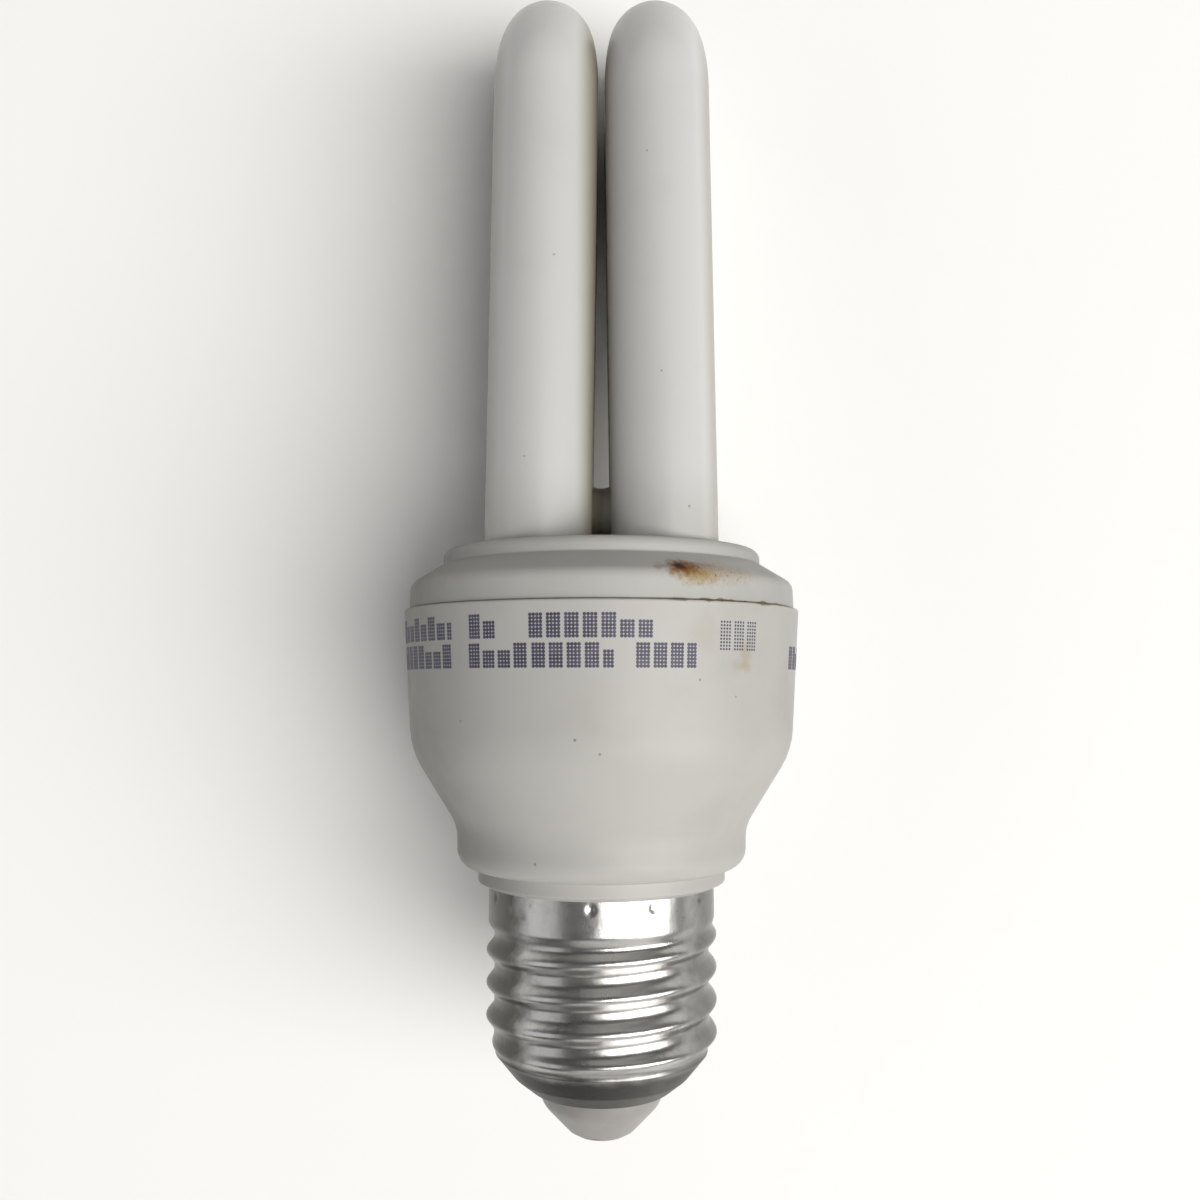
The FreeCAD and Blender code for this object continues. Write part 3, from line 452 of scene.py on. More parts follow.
def tubeGlass():
    # White phosphor seen through clear glass: the coating is dull and the glass over it glossy
    material, graph = newMaterial("tube_glass_white")
    look = glassLook
    lamp = lampPlace(graph)
    x, y, z = graph.split(lamp)
    cloud = graph.noise(lamp, *look["cloud"])
    low = 1 - graph.smooth(z, *look["shadeRise"])
    # Painted light makes the bends at the top lighter
    colour = graph.mix(graph.smooth(z, *look["bendRise"]), look["coating"], look["bend"])
    shaded = low * look["shaded"] + graph.smooth(cloud, *look["cloudEdge"]) * look["clouded"]
    colour = graph.mix(shaded, colour, look["shade"])
    # Painted shade on the outer edges, which lean in with the tubes
    aside = graph.maths("ABSOLUTE", x)
    leaning = (z - look["plateZ"]) * math.tan(math.radians(look["lean"]))
    outer = graph.smooth(aside + leaning, *look["shadedEdgeReach"])
    colour = graph.mix(outer * look["shadedEdgeShare"], colour, look["edge"])
    # Painted shade on the sides that face each other across the slot, most on the left side and
    # on the back legs
    back = graph.smooth(y, *look["backReach"])
    inner = 1 - graph.smooth(aside, *look["innerReach"])
    inner = inner * (look["innerFront"] + back * look["innerBack"])
    inner = inner * (1 - low * back * look["lowBack"])
    left = 1 - graph.smooth(x, *look["leftReach"])
    slot = left * (1 - graph.smooth(aside, *look["slotReach"])) * look["slotShare"]
    inner = graph.maths("MINIMUM", inner + slot, look["mostSlotShade"])
    colour = graph.mix(inner, colour, look["slotShade"])
    for across, level, size in look["specks"]:
        far = graph.length(x - across, z - level)
        speck = (1 - graph.smooth(far, size * look["speckCore"], size)) * (1 - back)
        colour = graph.mix(speck * look["speckShare"], colour, look["speck"])
    grain = graph.noise(lamp, *look["grain"])
    film = graph.smooth(graph.noise(lamp, *look["film"]), *look["filmEdge"])
    surface(graph, {"Base Color": colour,
                    "Roughness": look["roughness"] + graph.swing(grain, look["roughGrain"]),
                    "Coat Weight": look["coat"] - film * look["filmShare"],
                    "Coat Roughness": look["coatRoughness"], "Coat IOR": look["coatIor"],
                    "IOR": look["ior"]}, cloud, look["relief"])
    return material


# A flank of painted shade is (angle it faces, slope of the cosine, share)
metalLook = {
    "nickel": (0.64, 0.63, 0.615, 1), "dull": (0.45, 0.437, 0.41, 1),
    # The side tone is painted shade on the shell's flanks
    "side": (0.065, 0.061, 0.056, 1), "shoulderDark": (0.03, 0.027, 0.025, 1),
    "cloud": (0.45, 4.0, 0.6), "dullEdge": (0.5, 0.75), "dulled": 0.4,
    "rootReach": (12.25, 12.75), "rootDulled": 0.25, "flankCloud": 0.3,
    "shadedFlanks": ((-112.0, (0.16, 0.5), 0.94), (110.0, (0.12, 0.7), 0.76)),
    # The shoulder below the thread is darker towards the tip, and painted shade darkens it more
    # on the left
    "shoulderRise": (9.1, 11.1), "shoulderCloud": 1.4, "shoulder": 0.84,
    "shadedLeftward": (-40.0, 45.0), "shoulderShadeLeft": 0.15, "roughness": 0.3, "roughCloud": 0.16,
    "roughLines": 0.06, "roughShoulder": 0.14, "lines": (0.7, 4.0, 0.7),
    "linesStretch": (1, 1, 9), "fine": (4.0, 3.0, 0.5), "linesDepth": 0.006,
    "fineDepth": 0.0015, "cloudDepth": 0.05}


def nickelSheet():
    material, graph = newMaterial("nickel_sheet_rolled")
    look = metalLook
    lamp = lampPlace(graph)
    x, y, z = graph.split(lamp)
    angle = lampAngle(graph, x, y)
    stretched = graph.add("ShaderNodeMapping", {"Vector": lamp, "Scale": look["linesStretch"]})
    lines = graph.noise(stretched, *look["lines"])
    cloud = graph.noise(lamp, *look["cloud"])
    fine = graph.noise(lamp, *look["fine"])
    root = 1 - graph.smooth(graph.length(x, y), *look["rootReach"])
    dull = graph.smooth(cloud, *look["dullEdge"]) * look["dulled"] + root * look["rootDulled"]
    colour = graph.mix(dull, look["nickel"], look["dull"])
    # Painted shade on both flanks of the shell, most on the left
    for facing, slope, share in look["shadedFlanks"]:
        turned = graph.maths("COSINE", (angle - facing) * math.radians(1))
        flank = graph.smooth(turned + graph.swing(cloud, look["flankCloud"]), *slope)
        colour = graph.mix(flank * share, colour, look["side"])
    # Darker on the shoulder below the thread, and more on the left as painted shade
    wandering = z + graph.swing(cloud, look["shoulderCloud"])
    shoulder = 1 - graph.smooth(wandering, *look["shoulderRise"])
    shadedLeftward = 1 - graph.smooth(angle, *look["shadedLeftward"])
    shoulderShare = look["shoulder"] + shadedLeftward * look["shoulderShadeLeft"]
    colour = graph.mix(shoulder * shoulderShare, colour, look["shoulderDark"])
    rough = (look["roughness"] + graph.swing(cloud, look["roughCloud"])
             + graph.swing(lines, look["roughLines"]) + shoulder * look["roughShoulder"])
    height = lines * look["linesDepth"] + fine * look["fineDepth"] + cloud * look["cloudDepth"]
    surface(graph, {"Base Color": colour, "Metallic": 1.0, "Roughness": rough}, height)
    return material


# What a plain finish has unless its own row below says otherwise
plainFinish = {
    "metallic": 0.0, "deeper": 0.72, "relief": 0.02, "cloudScale": 0.5, "cloudDetail": 3.0,
    "cloudEdge": (0.35, 0.75), "clouded": 0.7, "roughCloud": 0.1, "grain": (6.0, 2.0, 0.5),
    "grained": 0.4, "roughGrain": 0.15}


def mottled(name, tone, roughness, others):
    # A plain finish with a cloudy change of tone, a fine grain and a little relief
    material, graph = newMaterial(name)
    look = {**plainFinish, **others}
    lamp = lampPlace(graph)
    cloud = graph.noise(lamp, look["cloudScale"], look["cloudDetail"])
    grain = graph.noise(lamp, *look["grain"])
    share = (graph.smooth(cloud, *look["cloudEdge"]) * look["clouded"]
             + graph.swing(grain, look["grained"]))
    worn = tuple(part * look["deeper"] for part in tone)
    colour = graph.mix(share, (*tone, 1), (*worn, 1))
    rough = roughness + graph.swing(grain, look["roughGrain"])
    rough = rough + graph.swing(cloud, look["roughCloud"])
    surface(graph, {"Base Color": colour, "Roughness": rough, "Metallic": look["metallic"]},
            grain + cloud, look["relief"])
    return material


# A finish is its tone, its roughness and what else differs from the plain finish
finishes = {
    "insulator_ceramic": ((0.305, 0.292, 0.277), 0.42, {"deeper": 0.86, "cloudScale": 0.25,
                                                        "relief": 0.03}),
    "contact_metal": ((0.42, 0.40, 0.375), 0.38, {"metallic": 0.7, "deeper": 0.8,
                                                  "cloudScale": 0.8, "relief": 0.05}),
    "cement": ((0.72, 0.70, 0.64), 0.9, {"relief": 0.08}),
    "board": ((0.42, 0.30, 0.11), 0.6, {}),
    "component_black": ((0.03, 0.03, 0.034), 0.5, {}),
    "component_red": ((0.30, 0.05, 0.025), 0.35, {}),
    "component_tan": ((0.52, 0.37, 0.19), 0.45, {}),
    "ferrite": ((0.045, 0.045, 0.05), 0.7, {"relief": 0.04}),
    "capacitor_sleeve": ((0.02, 0.03, 0.08), 0.25, {}),
    "copper_wire": ((0.72, 0.30, 0.12), 0.3, {"metallic": 1.0}),
    "solder": ((0.62, 0.62, 0.62), 0.32, {"metallic": 1.0})}
inkFinish = ((0.055, 0.053, 0.085), 0.55, {"deeper": 1.9, "cloudScale": 1.2, "relief": 0.01})

made = {slot: mottled(slot + "_finish", *finish) for slot, finish in finishes.items()}
glassMaterial = tubeGlass()
holderMaterial = plastic("holder_plastic", holderMarks)
housingMaterial = plastic("housing_plastic", housingMarks)
nickelMaterial = nickelSheet()
inkMaterial = mottled("print_ink", *inkFinish)
print("materials made")


# Screw shell, a rolled sheet whose thread follows a helix

shell = {
    "crestRadius": 13.1, "depth": 0.9, "pitch": 3.629, "crestZ": 12.2, "sharpness": 1.45,
    "runout": 2.2, "wall": 0.3, "bottomZ": 10.0, "topZ": 25.2, "collarRadius": 12.86,
    "collarHeight": 3.4, "shoulderRadius": 12.05, "midRadius": 10.0, "midHeight": 1.6,
    "lipZ": 5.9, "lipRadius": 8.0, "holeRadius": 7.15, "lipRound": 0.8, "shoulderRound": 1.2,
    "dimples": 12, "dimpleRadius": 0.7, "dimpleDepth": 0.17, "dimpleStretch": 1.25,
    "dimpleDrop": 0.85, "dimpleTurn": -5.0, "crimpDrop": 1.45, "around": 384, "rowHeight": 0.14,
    "innerRowHeight": 0.3, "hold": 0.1, "sharpDegrees": 50.0}


def smoothStep(share):
    share = min(max(share, 0.0), 1.0)
    return share * share * (3 - 2 * share)


def shellRadius(z):
    # Radius of the plain sheet before its thread is rolled
    rise = smoothStep((z - shell["bottomZ"]) / (shell["topZ"] - shell["bottomZ"]))
    return shell["shoulderRadius"] + (shell["collarRadius"] - shell["shoulderRadius"]) * rise


def shoulderLine():
    return [(shell["holeRadius"], shell["lipZ"]), (shell["lipRadius"], shell["lipZ"]),
            (shell["midRadius"], shell["lipZ"] + shell["midHeight"]),
            (shell["shoulderRadius"], shell["bottomZ"]),
            (shell["shoulderRadius"], shell["bottomZ"] + shell["collarHeight"])]


def plainSheetLine():
    # The outline of the unrolled sheet: up its outer side, over its top edge, and down inside
    bottom = shell["bottomZ"]
    height = shell["topZ"] + shell["collarHeight"] - bottom
    wall = shell["wall"]
    rounds = (0, shell["lipRound"], shell["shoulderRound"])
    outer = [(r, z, c) for (r, z), c in zip(shoulderLine(), rounds)]
    inner = [(p.x, p.y, max(c - wall, 0)) for p, c in zip(inset(shoulderLine(), wall), rounds)]
    start = (shell["shoulderRadius"], bottom, 0)
    innerStart = (shell["shoulderRadius"] - wall, bottom, 0)
    line = roundedLine(outer + [start, innerStart] + inner[::-1], shell["hold"])
    cut = min(range(len(line)), key=lambda i: (line[i] - Vector(start[:2])).length)
    steps = round(height / shell["rowHeight"])
    up = [bottom + height * k / steps for k in range(1, steps + 1)]
    steps = round(height / shell["innerRowHeight"])
    down = [bottom + height - height * k / steps for k in range(steps)]
    rolled = [Vector((shellRadius(z), z)) for z in up]
    rolled += [Vector((shellRadius(z) - wall, z)) for z in down]
    return line[:cut + 1] + rolled + line[cut + 1:]


def threadTree(material):
    # Turns the plain sheet into thread and dimples. Its angles count from x, so that the
    # front is at -90 degrees.
    inputs = {key: shell[key] for key in (
        "pitch", "depth", "crestRadius", "crestZ", "sharpness", "bottomZ", "topZ", "runout",
        "shoulderRadius", "collarRadius", "dimples", "dimpleRadius", "dimpleDepth",
        "dimpleStretch")}
    inputs["dimpleZ"] = shell["topZ"] + shell["collarHeight"] - shell["dimpleDrop"]
    inputs["dimpleTurn"] = math.radians(shell["dimpleTurn"] - 90)
    graph, given, sockets = geometryTree("rolled_thread", inputs)
    x, y, z = graph.split(graph.add("GeometryNodeInputPosition"))
    angle = graph.maths("ARCTAN2", y, x)
    radius = graph.length(x, y)
    rise = graph.smooth(z, given["bottomZ"], given["topZ"])
    plain = given["shoulderRadius"] + (given["collarRadius"] - given["shoulderRadius"]) * rise
    nearest = graph.maths("MINIMUM", z - given["bottomZ"], given["topZ"] - z)
    strength = graph.smooth(nearest, 0.0, given["runout"])
    phase = (z - given["crestZ"]) / given["pitch"] * (2 * math.pi) - angle
    wave = (0.5 + graph.maths("COSINE", phase) * 0.5) ** given["sharpness"]
    threaded = given["crestRadius"] - given["depth"] + given["depth"] * wave
    roll = strength * (threaded - plain)
    # Each point looks at the dimple nearest to it round the collar
    turns = (angle - given["dimpleTurn"]) / (2 * math.pi) * given["dimples"]
    aside = (turns - graph.maths("ROUND", turns)) / given["dimples"] * (2 * math.pi)
    far = graph.length(aside * given["collarRadius"],
                       (z - given["dimpleZ"]) / given["dimpleStretch"])
    dent = given["dimpleDepth"] * (1 - graph.smooth(far, 0.0, given["dimpleRadius"]))
    push = (roll - dent) / radius
    offset = graph.add("ShaderNodeCombineXYZ", {"X": x * push, "Y": y * push})
    moved = graph.add("GeometryNodeSetPosition", {"Geometry": given["Geometry"],
                                                  "Offset": offset})
    finishTree(graph, moved, material)
    return graph.tree, sockets


def finishTree(graph, geometry, material):
    real = graph.add("GeometryNodeRealizeInstances", {"Geometry": geometry})
    dressed = graph.add("GeometryNodeSetMaterial", {"Geometry": real, "Material": material})
    graph.add("NodeGroupOutput", {"Geometry": dressed})


def buildShell():
    name = "rolled_screw_shell"
    piece = toScene(name, turnedMesh(name, plainSheetLine(), shell["around"]))
    tree, sockets = threadTree(nickelMaterial)
    addModifier(piece, tree, sockets, {key: shell[key] for key in ("pitch", "depth", "dimples")})
    bake(piece)
    smoothShade(piece.data, shell["sharpDegrees"])
    layPiece(piece, nickelMaterial, "nickel_sheet", "screw_shell")


buildShell()
print("screw shell rolled")


# Insulator and contact at the tip

tipSizes = {
    "contactRadius": 3.1, "contactFlat": 0.7, "contactHeight": 1.15, "contactEdge": 0.35,
    "contactRound": 0.3, "noseRound": 0.4, "contactHold": 0.06, "leadHole": 0.9, "step": 0.6,
    "stepRound": 0.5, "clearance": 0.06, "topZ": 9.2, "domeRadius": 6.7, "domeZ": 4.3,
    "domeRound": 3.0}


def insulatorLine():
    s = tipSizes
    inner = inset(shoulderLine(), shell["wall"] + s["clearance"])
    slope = (inner[3].x - inner[2].x) / (inner[3].y - inner[2].y)
    topRadius = inner[2].x + slope * (s["topZ"] - inner[2].y)
    throat = shell["holeRadius"] - s["clearance"]
    return roundedLine([
        (s["leadHole"], s["contactHeight"], 0),
        (s["contactRadius"] + s["step"], s["contactHeight"], s["stepRound"]),
        (s["domeRadius"], s["domeZ"], s["domeRound"]),
        (throat, shell["lipZ"], 0),
        (throat, inner[1].y, 0),
        (inner[1].x, inner[1].y, shell["lipRound"] / 2),
        (inner[2].x, inner[2].y, shell["shoulderRound"] - shell["wall"]),
        (topRadius, s["topZ"], 0),
        (s["leadHole"], s["topZ"], 0)])


def contactLine():
    s = tipSizes
    return roundedLine([
        (0, 0, 0),
        (s["contactFlat"], 0, s["noseRound"]),
        (s["contactRadius"], s["contactHeight"] - s["contactEdge"], s["contactRound"]),
        (s["contactRadius"], s["contactHeight"], 0),
        (0, s["contactHeight"], 0)], s["contactHold"])


def buildTurned(name, line, material, slot, node):
    piece = toScene(name, turnedMesh(name, line))
    smoothShade(piece.data)
    layPiece(piece, material, slot, node)


buildTurned("insulator_dome", insulatorLine(), made["insulator_ceramic"], "insulator_ceramic",
            "contact_insulator")
buildTurned("end_contact", contactLine(), made["contact_metal"], "contact_metal",
            "centre_contact")


# Housing

housing = {
    "wall": 1.6, "rimRadius": 22.697, "seamZ": 59.7, "rimEdge": 0.25, "bellyRadius": 21.8,
    "bellyZ": 43.9, "bellyRound": 9.0, "waistRadius": 16.5, "waistZ": 35.3, "waistRound": 5.0,
    "footRadius": 14.1, "footHeight": 1.5, "footChamfer": 0.5, "footRound": 2.2,
    "seatWidth": 0.35, "neckClearance": 0.16, "neckDepth": 9.4, "neckWall": 1.4,
    "rootClearance": 0.3, "grooveDepth": 0.45, "grooveHeight": 1.6, "mouthRadius": 21.097,
    "mouthDepth": 5.0, "snapHeight": 1.1, "snapReach": 0.3, "snapDrop": 2.7, "neckRound": 0.4,
    "footEdge": 0.2, "mouthEdge": 0.2, "floorRound": 1.0, "boreEdge": 0.6}


def housingLine():
    h = housing
    collarTop = shell["topZ"] + shell["collarHeight"]
    footTop = collarTop + h["footChamfer"] + h["footHeight"]
    side = [(h["waistRadius"], footTop), (h["waistRadius"], h["waistZ"]),
            (h["bellyRadius"], h["bellyZ"]), (h["rimRadius"], h["seamZ"])]
    inner = inset(side, h["wall"])
    fit = shell["collarRadius"] - shell["wall"] - h["neckClearance"]
    low = shell["crestRadius"] - shell["depth"] - shell["wall"] - h["rootClearance"]
    bore = low - h["neckWall"]
    bottom = collarTop - h["neckDepth"]
    crimp = collarTop - shell["crimpDrop"]
    halfGroove = h["grooveHeight"] / 2
    grooveZ = h["seamZ"] - h["snapDrop"]
    mouth = h["mouthRadius"]
    mouthZ = h["seamZ"] - h["mouthDepth"]
    cavity = inner[2].lerp(inner[3], (mouthZ - inner[2].y) / (inner[3].y - inner[2].y))
    return roundedLine([
        (bore, bottom, 0),
        (low, bottom, h["neckRound"]),
        (low, shell["topZ"] - (fit - low), 0),
        (fit, shell["topZ"], 0),
        (fit, crimp - halfGroove - h["grooveDepth"], 0),
        (fit - h["grooveDepth"], crimp - halfGroove, 0),
        (fit - h["grooveDepth"], crimp + halfGroove, 0),
        (fit, collarTop, 0),
        (fit + shell["wall"] + h["seatWidth"], collarTop, 0),
        (h["footRadius"], collarTop + h["footChamfer"], h["footEdge"]),
        (h["footRadius"], footTop, 0),
        (h["waistRadius"], footTop, h["footRound"]),
        (h["waistRadius"], h["waistZ"], h["waistRound"]),
        (h["bellyRadius"], h["bellyZ"], h["bellyRound"]),
        (h["rimRadius"], h["seamZ"], h["rimEdge"]),
        (mouth, h["seamZ"], h["mouthEdge"]),
        (mouth, grooveZ + h["snapHeight"] / 2, 0),
        (mouth + h["snapReach"], grooveZ, 0),
        (mouth, grooveZ - h["snapHeight"] / 2, 0),
        (mouth, mouthZ, 0),
        (cavity.x, mouthZ, 0),
        (inner[2].x, inner[2].y, h["bellyRound"] - h["wall"]),
        (inner[1].x, inner[1].y, h["waistRound"]),
        (inner[0].x, footTop + h["wall"], h["floorRound"]),
        (bore, footTop + h["wall"], h["boreEdge"])])


buildTurned("housing_shell", housingLine(), housingMaterial, "white_plastic", "ballast_housing")
print("housing turned")


# Tube holder, the cover that carries the glass

holder = {
    "flangeStep": 0.55, "flangeHeight": 2.9, "flangeDraft": 0.1, "flangeRound": 1.4,
    "flangeEdge": 0.15, "plateRadius": 18.347, "plateTopZ": 66.6, "plateEdgeHeight": 1.7,
    "plateEdgeRound": 1.1, "plateFootRound": 0.3, "plateThickness": 1.8, "wall": 1.5,
    "skirtLength": 4.4, "skirtClearance": 0.1, "skirtLeadIn": 0.3, "snapClearance": 0.08,
    "holeClearance": 0.25, "holeAround": 96, "holeOver": 1.0, "pocketRadius": 17.007,
    "pocketWall": 1.1, "pocketDepth": 4.4}

tubes = {
    "radius": 5.9, "narrowing": 0.85, "spread": 7.0, "depth": 8.3, "lean": 0.82, "bendZ": 118.2,
    "endZ": 57.2, "bridgeRadius": 3.0, "bridgeFlare": 1.1, "bridgeRise": 6.0, "bridgeStart": 0.8,
    "bridgeRows": 24, "bridgeAround": 64, "pinchWidth": 7.4, "pinchThickness": 2.4,
    "pinchLength": 4.2, "exhaustRadius": 1.4, "exhaustLength": 5.5, "exhaustTip": 0.6,
    "exhaustTaper": 0.5, "around": 96, "bendRows": 48, "legRows": 14, "sharpDegrees": 60.0}


def leaned(mesh, sign):
    # Tips a mesh that is drawn upright over to the middle, as each U leans
    plate = Matrix.Translation((0, 0, holder["plateTopZ"]))
    lean = Matrix.Rotation(-sign * math.radians(tubes["lean"]), 4, "Y")
    mesh.transform(Matrix.Translation((sign * tubes["spread"], 0, 0)) @ plate @ lean
                   @ plate.inverted())
    return mesh


def holderLine():
    h = holder
    seam = housing["seamZ"]
    flange = housing["rimRadius"] - h["flangeStep"]
    flangeTop = seam + h["flangeHeight"]
    side = [(flange, seam), (flange - h["flangeDraft"], flangeTop),
            (h["plateRadius"], h["plateTopZ"] - h["plateEdgeHeight"])]
    inner = inset(side, h["wall"])
    skirt = housing["mouthRadius"] - h["skirtClearance"]
    skirtInner = skirt - h["wall"]
    bottom = seam - h["skirtLength"]
    bead = seam - housing["snapDrop"]
    beadRadius = housing["mouthRadius"] + housing["snapReach"] - h["snapClearance"]
    halfBead = housing["snapHeight"] / 2 - h["snapClearance"]
    under = h["plateTopZ"] - h["plateThickness"]
    pocket = h["pocketRadius"]
    return roundedLine([
        (skirtInner, bottom, 0),
        (skirt, bottom, h["skirtLeadIn"]),
        (skirt, bead - halfBead, 0),
        (beadRadius, bead, 0),
        (skirt, bead + halfBead, 0),
        (skirt, seam, 0),
        (flange, seam, h["flangeEdge"]),
        (flange - h["flangeDraft"], flangeTop, h["flangeRound"]),
        (*side[2], h["plateFootRound"]),
        (h["plateRadius"], h["plateTopZ"], h["plateEdgeRound"]),
        (0, h["plateTopZ"], 0),
        (0, under, 0),
        (pocket, under, 0),
        (pocket, under - h["pocketDepth"], 0),
        (pocket + h["pocketWall"], under - h["pocketDepth"], 0),
        (pocket + h["pocketWall"], inner[2].y - h["wall"] / 2, 0),
        (skirtInner, inner[1].y, 0)])


def legHole(sign, depth):
    bottom = holder["plateTopZ"] - holder["plateThickness"] - holder["holeOver"]
    top = holder["plateTopZ"] + holder["holeOver"]
    radius = tubes["radius"] + holder["holeClearance"]
    mesh = turnedMesh("leg_hole", [(0, bottom), (radius, bottom), (radius, top), (0, top)],
                      holder["holeAround"])
    mesh.transform(Matrix.Translation((0, depth, 0)))
    return toScene("leg_hole", leaned(mesh, sign))


def buildHolder():
    piece = toScene("holder_cover", turnedMesh("holder_cover", holderLine()))
    for sign in (-1, 1):
        for depth in (-tubes["depth"], tubes["depth"]):
            combine(piece, legHole(sign, depth), "DIFFERENCE")
    smoothShade(piece.data)
    layPiece(piece, holderMaterial, "white_plastic", "tube_holder")


buildHolder()
print("holder cut")


# Glass tubes: each U is one closed skin, and a short tube joins the two back legs

def uRows(withExhaust):
    # Middle, outward direction, half depth and half width of each ring along one U
    t = tubes
    front = Vector((0, -1, 0))
    back = Vector((0, 1, 0))
    foot = Vector((0, -t["depth"], t["endZ"]))
    pinch = (t["pinchThickness"] / 2, t["pinchWidth"] / 2)
    full = (t["radius"], t["radius"])
    yield foot - Vector((0, 0, t["pinchLength"])), front, *pinch
    yield foot, front, *pinch
    for k in range(t["legRows"]):
        rise = (t["bendZ"] - t["endZ"]) * k / t["legRows"]
        yield foot + Vector((0, 0, rise)), front, *full
    for k in range(t["bendRows"] + 1):
        turn = math.pi * (1 - k / t["bendRows"])
        outward = Vector((0, math.cos(turn), math.sin(turn)))
        radius = t["radius"] - t["narrowing"] * math.sin(turn) ** 2
        yield Vector((0, 0, t["bendZ"])) + outward * t["depth"], outward, radius, radius
    foot = Vector((0, t["depth"], t["endZ"]))
    for k in range(t["legRows"]):
        rise = (t["bendZ"] - t["endZ"]) * (1 - (k + 1) / t["legRows"])
        yield foot + Vector((0, 0, rise)), back, *full
    if withExhaust:
        stub = (t["exhaustRadius"], t["exhaustRadius"])
        yield foot, back, *stub
        yield foot - Vector((0, 0, t["exhaustLength"] - t["exhaustTip"])), back, *stub
        tip = t["exhaustRadius"] * t["exhaustTaper"]
        yield foot - Vector((0, 0, t["exhaustLength"])), back, tip, tip


def buildU(name, withExhaust):
    maker = bmesh.new()
    rings = []
    for middle, outward, halfDepth, halfWidth in uRows(withExhaust):
        ring = []
        for k in range(tubes["around"]):
            angle = 2 * math.pi * k / tubes["around"]
            place = middle + outward * (halfDepth * math.cos(angle))
            ring.append(maker.verts.new(place + Vector((halfWidth * math.sin(angle), 0, 0))))
        rings.append(ring)
    for lower, upper in zip(rings, rings[1:]):
        addBand(maker, lower, upper)
    maker.faces.new(rings[0])
    maker.faces.new(rings[-1])
    return meshFrom(maker, name)


def bridgeMesh():
    # A waisted tube about the x axis, through the middles of both back legs
    t = tubes
    end = t["spread"]
    flareX = end - t["radius"] * t["bridgeStart"]
    steps = t["bridgeRows"]
    wide = t["bridgeRadius"] + t["bridgeFlare"]
    line = [(0, -end), (wide, -end)]
    for k in range(steps + 1):
        x = flareX * (2 * k / steps - 1)
        line.append((t["bridgeRadius"] + t["bridgeFlare"] * (x / flareX) ** 2, x))
    line += [(wide, end), (0, end)]
    mesh = turnedMesh("bridge", line, t["bridgeAround"])
    middle = Matrix.Translation((0, t["depth"], holder["plateTopZ"] + t["bridgeRise"]))
    mesh.transform(middle @ Matrix.Rotation(math.pi / 2, 4, "Y"))
    return mesh


def buildTubes():
    piece = toScene("glass_tubes", leaned(buildU("glass_tubes", True), -1))
    combine(piece, toScene("bridge", bridgeMesh()), "UNION")
    combine(piece, toScene("right_u", leaned(buildU("right_u", False), 1)), "UNION")
    smoothShade(piece.data, tubes["sharpDegrees"])
    layPiece(piece, glassMaterial, "tube_glass", "discharge_tube")


buildTubes()
print("tubes blown")


# Print on the housing: two rows of plain blocks of ink dots and a finer group, as fields of tone

# A run is (its row, start and end angle); a row's name stands for its lowest and highest z
printLook = {
    "high": (56.0, 58.15), "low": (53.05, 55.2), "fine": (54.8, 57.55), "rows": 7,
    "columnPitch": 0.366, "cellColumns": 5, "dotRadius": 0.188, "dotThickness": 0.03,
    "dotSides": 8, "shortHeight": 0.65, "tallShare": 0.6, "firstSeed": 43, "fineRows": 9,
    "fineDotRadius": 0.125,
    "runs": (("high", -104, -85), ("high", -82, -43.8), ("high", -36.3, -27.9),
             ("high", -18.3, 13.4), ("low", -104, -88), ("low", -84, -44.3),
             ("low", -36.6, -19.8), ("low", -17.6, 2.6), ("low", 9.1, 24.5),
             ("low", 65.8, 96.0), ("fine", 32.4, 44.6))}


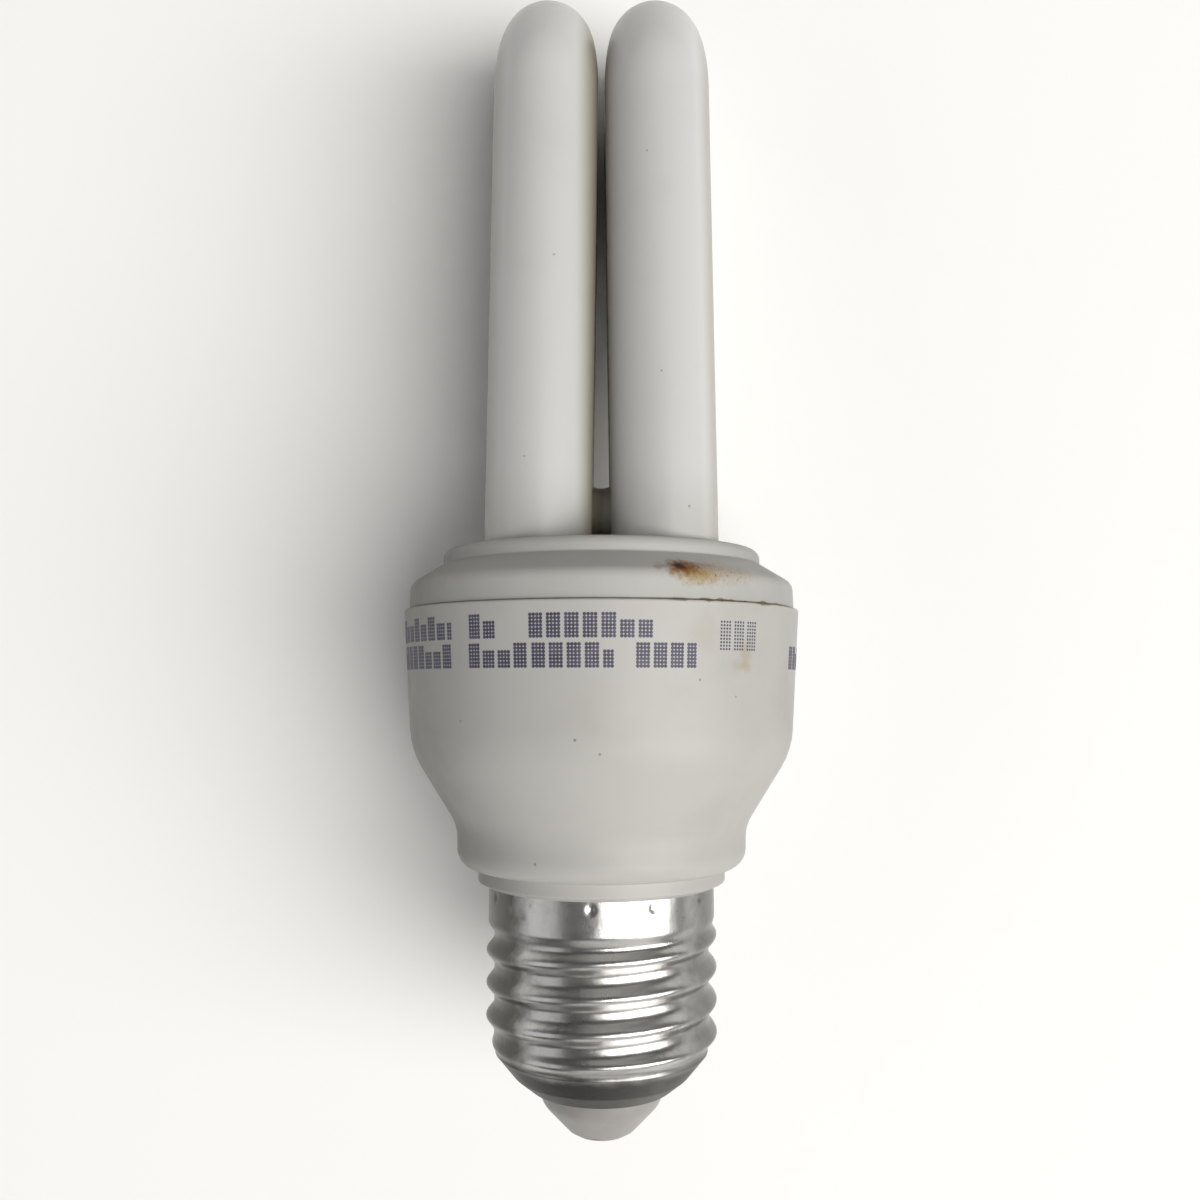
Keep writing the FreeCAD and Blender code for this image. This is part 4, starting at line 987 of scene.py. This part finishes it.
def printTree(material):
    # One run of dots on the housing's slope, in cells of full or short height
    look = printLook
    inputs = {"start": 0.0, "end": 1.0, "lowZ": 0.0, "highZ": 1.0, "columns": 4, "seed": 1}
    inputs.update((key, look[key]) for key in (
        "rows", "cellColumns", "dotRadius", "dotThickness", "shortHeight", "tallShare"))
    inputs.update((key, housing[key]) for key in ("bellyRadius", "bellyZ", "rimRadius", "seamZ"))
    graph, given, sockets = geometryTree("print_dots", inputs)
    grid = graph.add("GeometryNodeMeshGrid", {
        "Size X": 1.0, "Size Y": 1.0, "Vertices X": given["columns"],
        "Vertices Y": given["rows"]})
    number = graph.add("GeometryNodeInputIndex")
    column = graph.maths("FLOOR", number / given["rows"])
    row = number - column * given["rows"]
    cell = graph.maths("FLOOR", column / given["cellColumns"])
    # The last column of each cell stays blank
    inCell = graph.maths("LESS_THAN", graph.maths("MODULO", column, given["cellColumns"]),
                         given["cellColumns"] - 1.5)
    tall = graph.add("FunctionNodeRandomValue", {
        "Probability": given["tallShare"], "ID": cell, "Seed": given["seed"]}, 3,
        data_type="BOOLEAN")
    inHeight = graph.maths("LESS_THAN", row, given["rows"] * (given["shortHeight"] + tall))
    across = column / (given["columns"] - 1)
    angle = given["start"] + across * (given["end"] - given["start"])
    level = given["lowZ"] + row / (given["rows"] - 1) * (given["highZ"] - given["lowZ"])
    slope = (given["rimRadius"] - given["bellyRadius"]) / (given["seamZ"] - given["bellyZ"])
    radius = given["bellyRadius"] + (level - given["bellyZ"]) * slope
    outX = graph.maths("SINE", angle)
    outY = -graph.maths("COSINE", angle)
    place = graph.add("ShaderNodeCombineXYZ", {
        "X": outX * radius, "Y": outY * radius, "Z": level})
    outward = graph.add("ShaderNodeCombineXYZ", {"X": outX, "Y": outY, "Z": -slope})
    placed = graph.add("GeometryNodeSetPosition", {"Geometry": grid, "Position": place})
    dot = graph.add("GeometryNodeMeshCylinder", {
        "Vertices": look["dotSides"], "Radius": given["dotRadius"],
        "Depth": given["dotThickness"]}, fill_type="NGON")
    facing = graph.add("FunctionNodeAlignRotationToVector", {"Vector": outward}, axis="Z")
    dots = graph.add("GeometryNodeInstanceOnPoints", {
        "Points": placed, "Selection": inCell * inHeight, "Instance": dot,
        "Rotation": facing})
    real = graph.add("GeometryNodeRealizeInstances", {"Geometry": dots})
    both = graph.add("GeometryNodeJoinGeometry").socket.node
    graph.tree.links.new(real.socket, both.inputs[0])
    graph.tree.links.new(given["Geometry"].socket, both.inputs[0])
    finishTree(graph, Flow(graph, both.outputs[0]), material)
    return graph.tree, sockets


def buildPrint():
    look = printLook
    piece = toScene("ink_print", bpy.data.meshes.new("ink_print"))
    tree, sockets = printTree(inkMaterial)
    for seed, (row, start, end) in enumerate(look["runs"], look["firstSeed"]):
        fine = row == "fine"
        length = math.radians(end - start) * housing["rimRadius"]
        addModifier(piece, tree, sockets, {
            "start": math.radians(start), "end": math.radians(end),
            "lowZ": look[row][0], "highZ": look[row][1],
            "columns": round(length / look["columnPitch"]) + 1,
            "rows": look["fineRows"] if fine else look["rows"],
            "tallShare": 1.0 if fine else look["tallShare"],
            "dotRadius": look["fineDotRadius"] if fine else look["dotRadius"],
            "seed": seed})
    bake(piece)
    layPiece(piece, inkMaterial, None)


buildPrint()
print("print laid")


# Finishes of the inner pieces, which keep the frame's own meshes

def dressInnerNodes():
    slots = {row["node"]: row["material_slot"] for row in frame["record"]["subparts"]}
    for name, node in frame["nodes"].items():
        if not node.hide_render:
            node.data.materials.clear()
            node.data.materials.append(made[slots[name]])
    print("inner nodes dressed")


dressInnerNodes()


# Floor, light and camera

floorLook = {
    "size": 12.0, "tone": (0.90, 0.897, 0.885), "roughness": 0.75, "cloud": (30.0, 2.0, 0.5),
    "clouded": 0.3, "deeper": 0.985}


def buildFloor():
    maker = bmesh.new()
    half = floorLook["size"] / 2
    maker.faces.new([maker.verts.new((x * half, y * half, 0))
                     for x, y in ((-1, -1), (1, -1), (1, 1), (-1, 1))])
    floor = toScene("floor", meshFrom(maker, "floor"))
    material, graph = newMaterial("floor_paper")
    place = graph.add("ShaderNodeTexCoord", output="Object")
    cloud = graph.noise(place, *floorLook["cloud"])
    tone = floorLook["tone"]
    worn = tuple(part * floorLook["deeper"] for part in tone)
    colour = graph.mix(cloud * floorLook["clouded"], (*tone, 1), (*worn, 1))
    surface(graph, {"Base Color": colour, "Roughness": floorLook["roughness"]})
    floor.data.materials.append(material)


# A light is its place, width and height in metres, its power in watts and its colour
lights = {
    "key": ((1.02, -0.27, 1.48), (1.22, 2.1), 45.5, (1.0, 0.987, 0.965)),
    "tip_side": ((0.25, -1.15, 0.6), (1.4, 0.9), 2.7, (1.0, 0.99, 0.97)),
    "tube_side": ((0.2, 0.95, 0.5), (1.1, 0.35), 0.5, (1.0, 0.99, 0.97)),
    "left_wall": ((-0.86, -0.1, 0.42), (1.2, 0.8), 2.0, (0.97, 0.98, 1.0))}
world = {"colour": (1.0, 0.985, 0.955), "strength": 0.06}
camera = {
    "place": (-0.00017, 0.0051, 0.16104), "turn": -4.02, "lens": 35.7, "sensor": 36.0,
    "clip": (0.005, 20.0)}
aim = Vector((0, 0, 0.02))   # the place on the lamp that all the lights face


def buildLights():
    for name, (place, size, power, colour) in lights.items():
        light = bpy.data.lights.new(name, "AREA")
        light.shape = "RECTANGLE"
        light.size, light.size_y = size
        light.energy = power
        light.color = colour
        stand = bpy.data.objects.new(name, light)
        stand.location = place
        stand.rotation_euler = (Vector(place) - aim).to_track_quat("Z", "Y").to_euler()
        scene.collection.objects.link(stand)
    sky = bpy.data.worlds.new("pale_room")
    sky.use_nodes = True
    graph = Graph(sky.node_tree)
    glow = graph.add("ShaderNodeBackground", {"Color": (*world["colour"], 1),
                                              "Strength": world["strength"]})
    graph.add("ShaderNodeOutputWorld", {"Surface": glow})
    scene.world = sky


def buildCamera():
    data = bpy.data.cameras.new("photo_camera")
    data.lens = camera["lens"]
    data.sensor_width = camera["sensor"]
    data.clip_start, data.clip_end = camera["clip"]
    eye = bpy.data.objects.new("photo_camera", data)
    eye.location = camera["place"]
    eye.rotation_euler = (math.radians(camera["turn"]), 0, 0)
    scene.collection.objects.link(eye)
    scene.camera = eye


buildFloor()
buildLights()
buildCamera()
scene.view_settings.view_transform = "Standard"
print("floor, lights and camera placed")

bpy.context.view_layer.update()
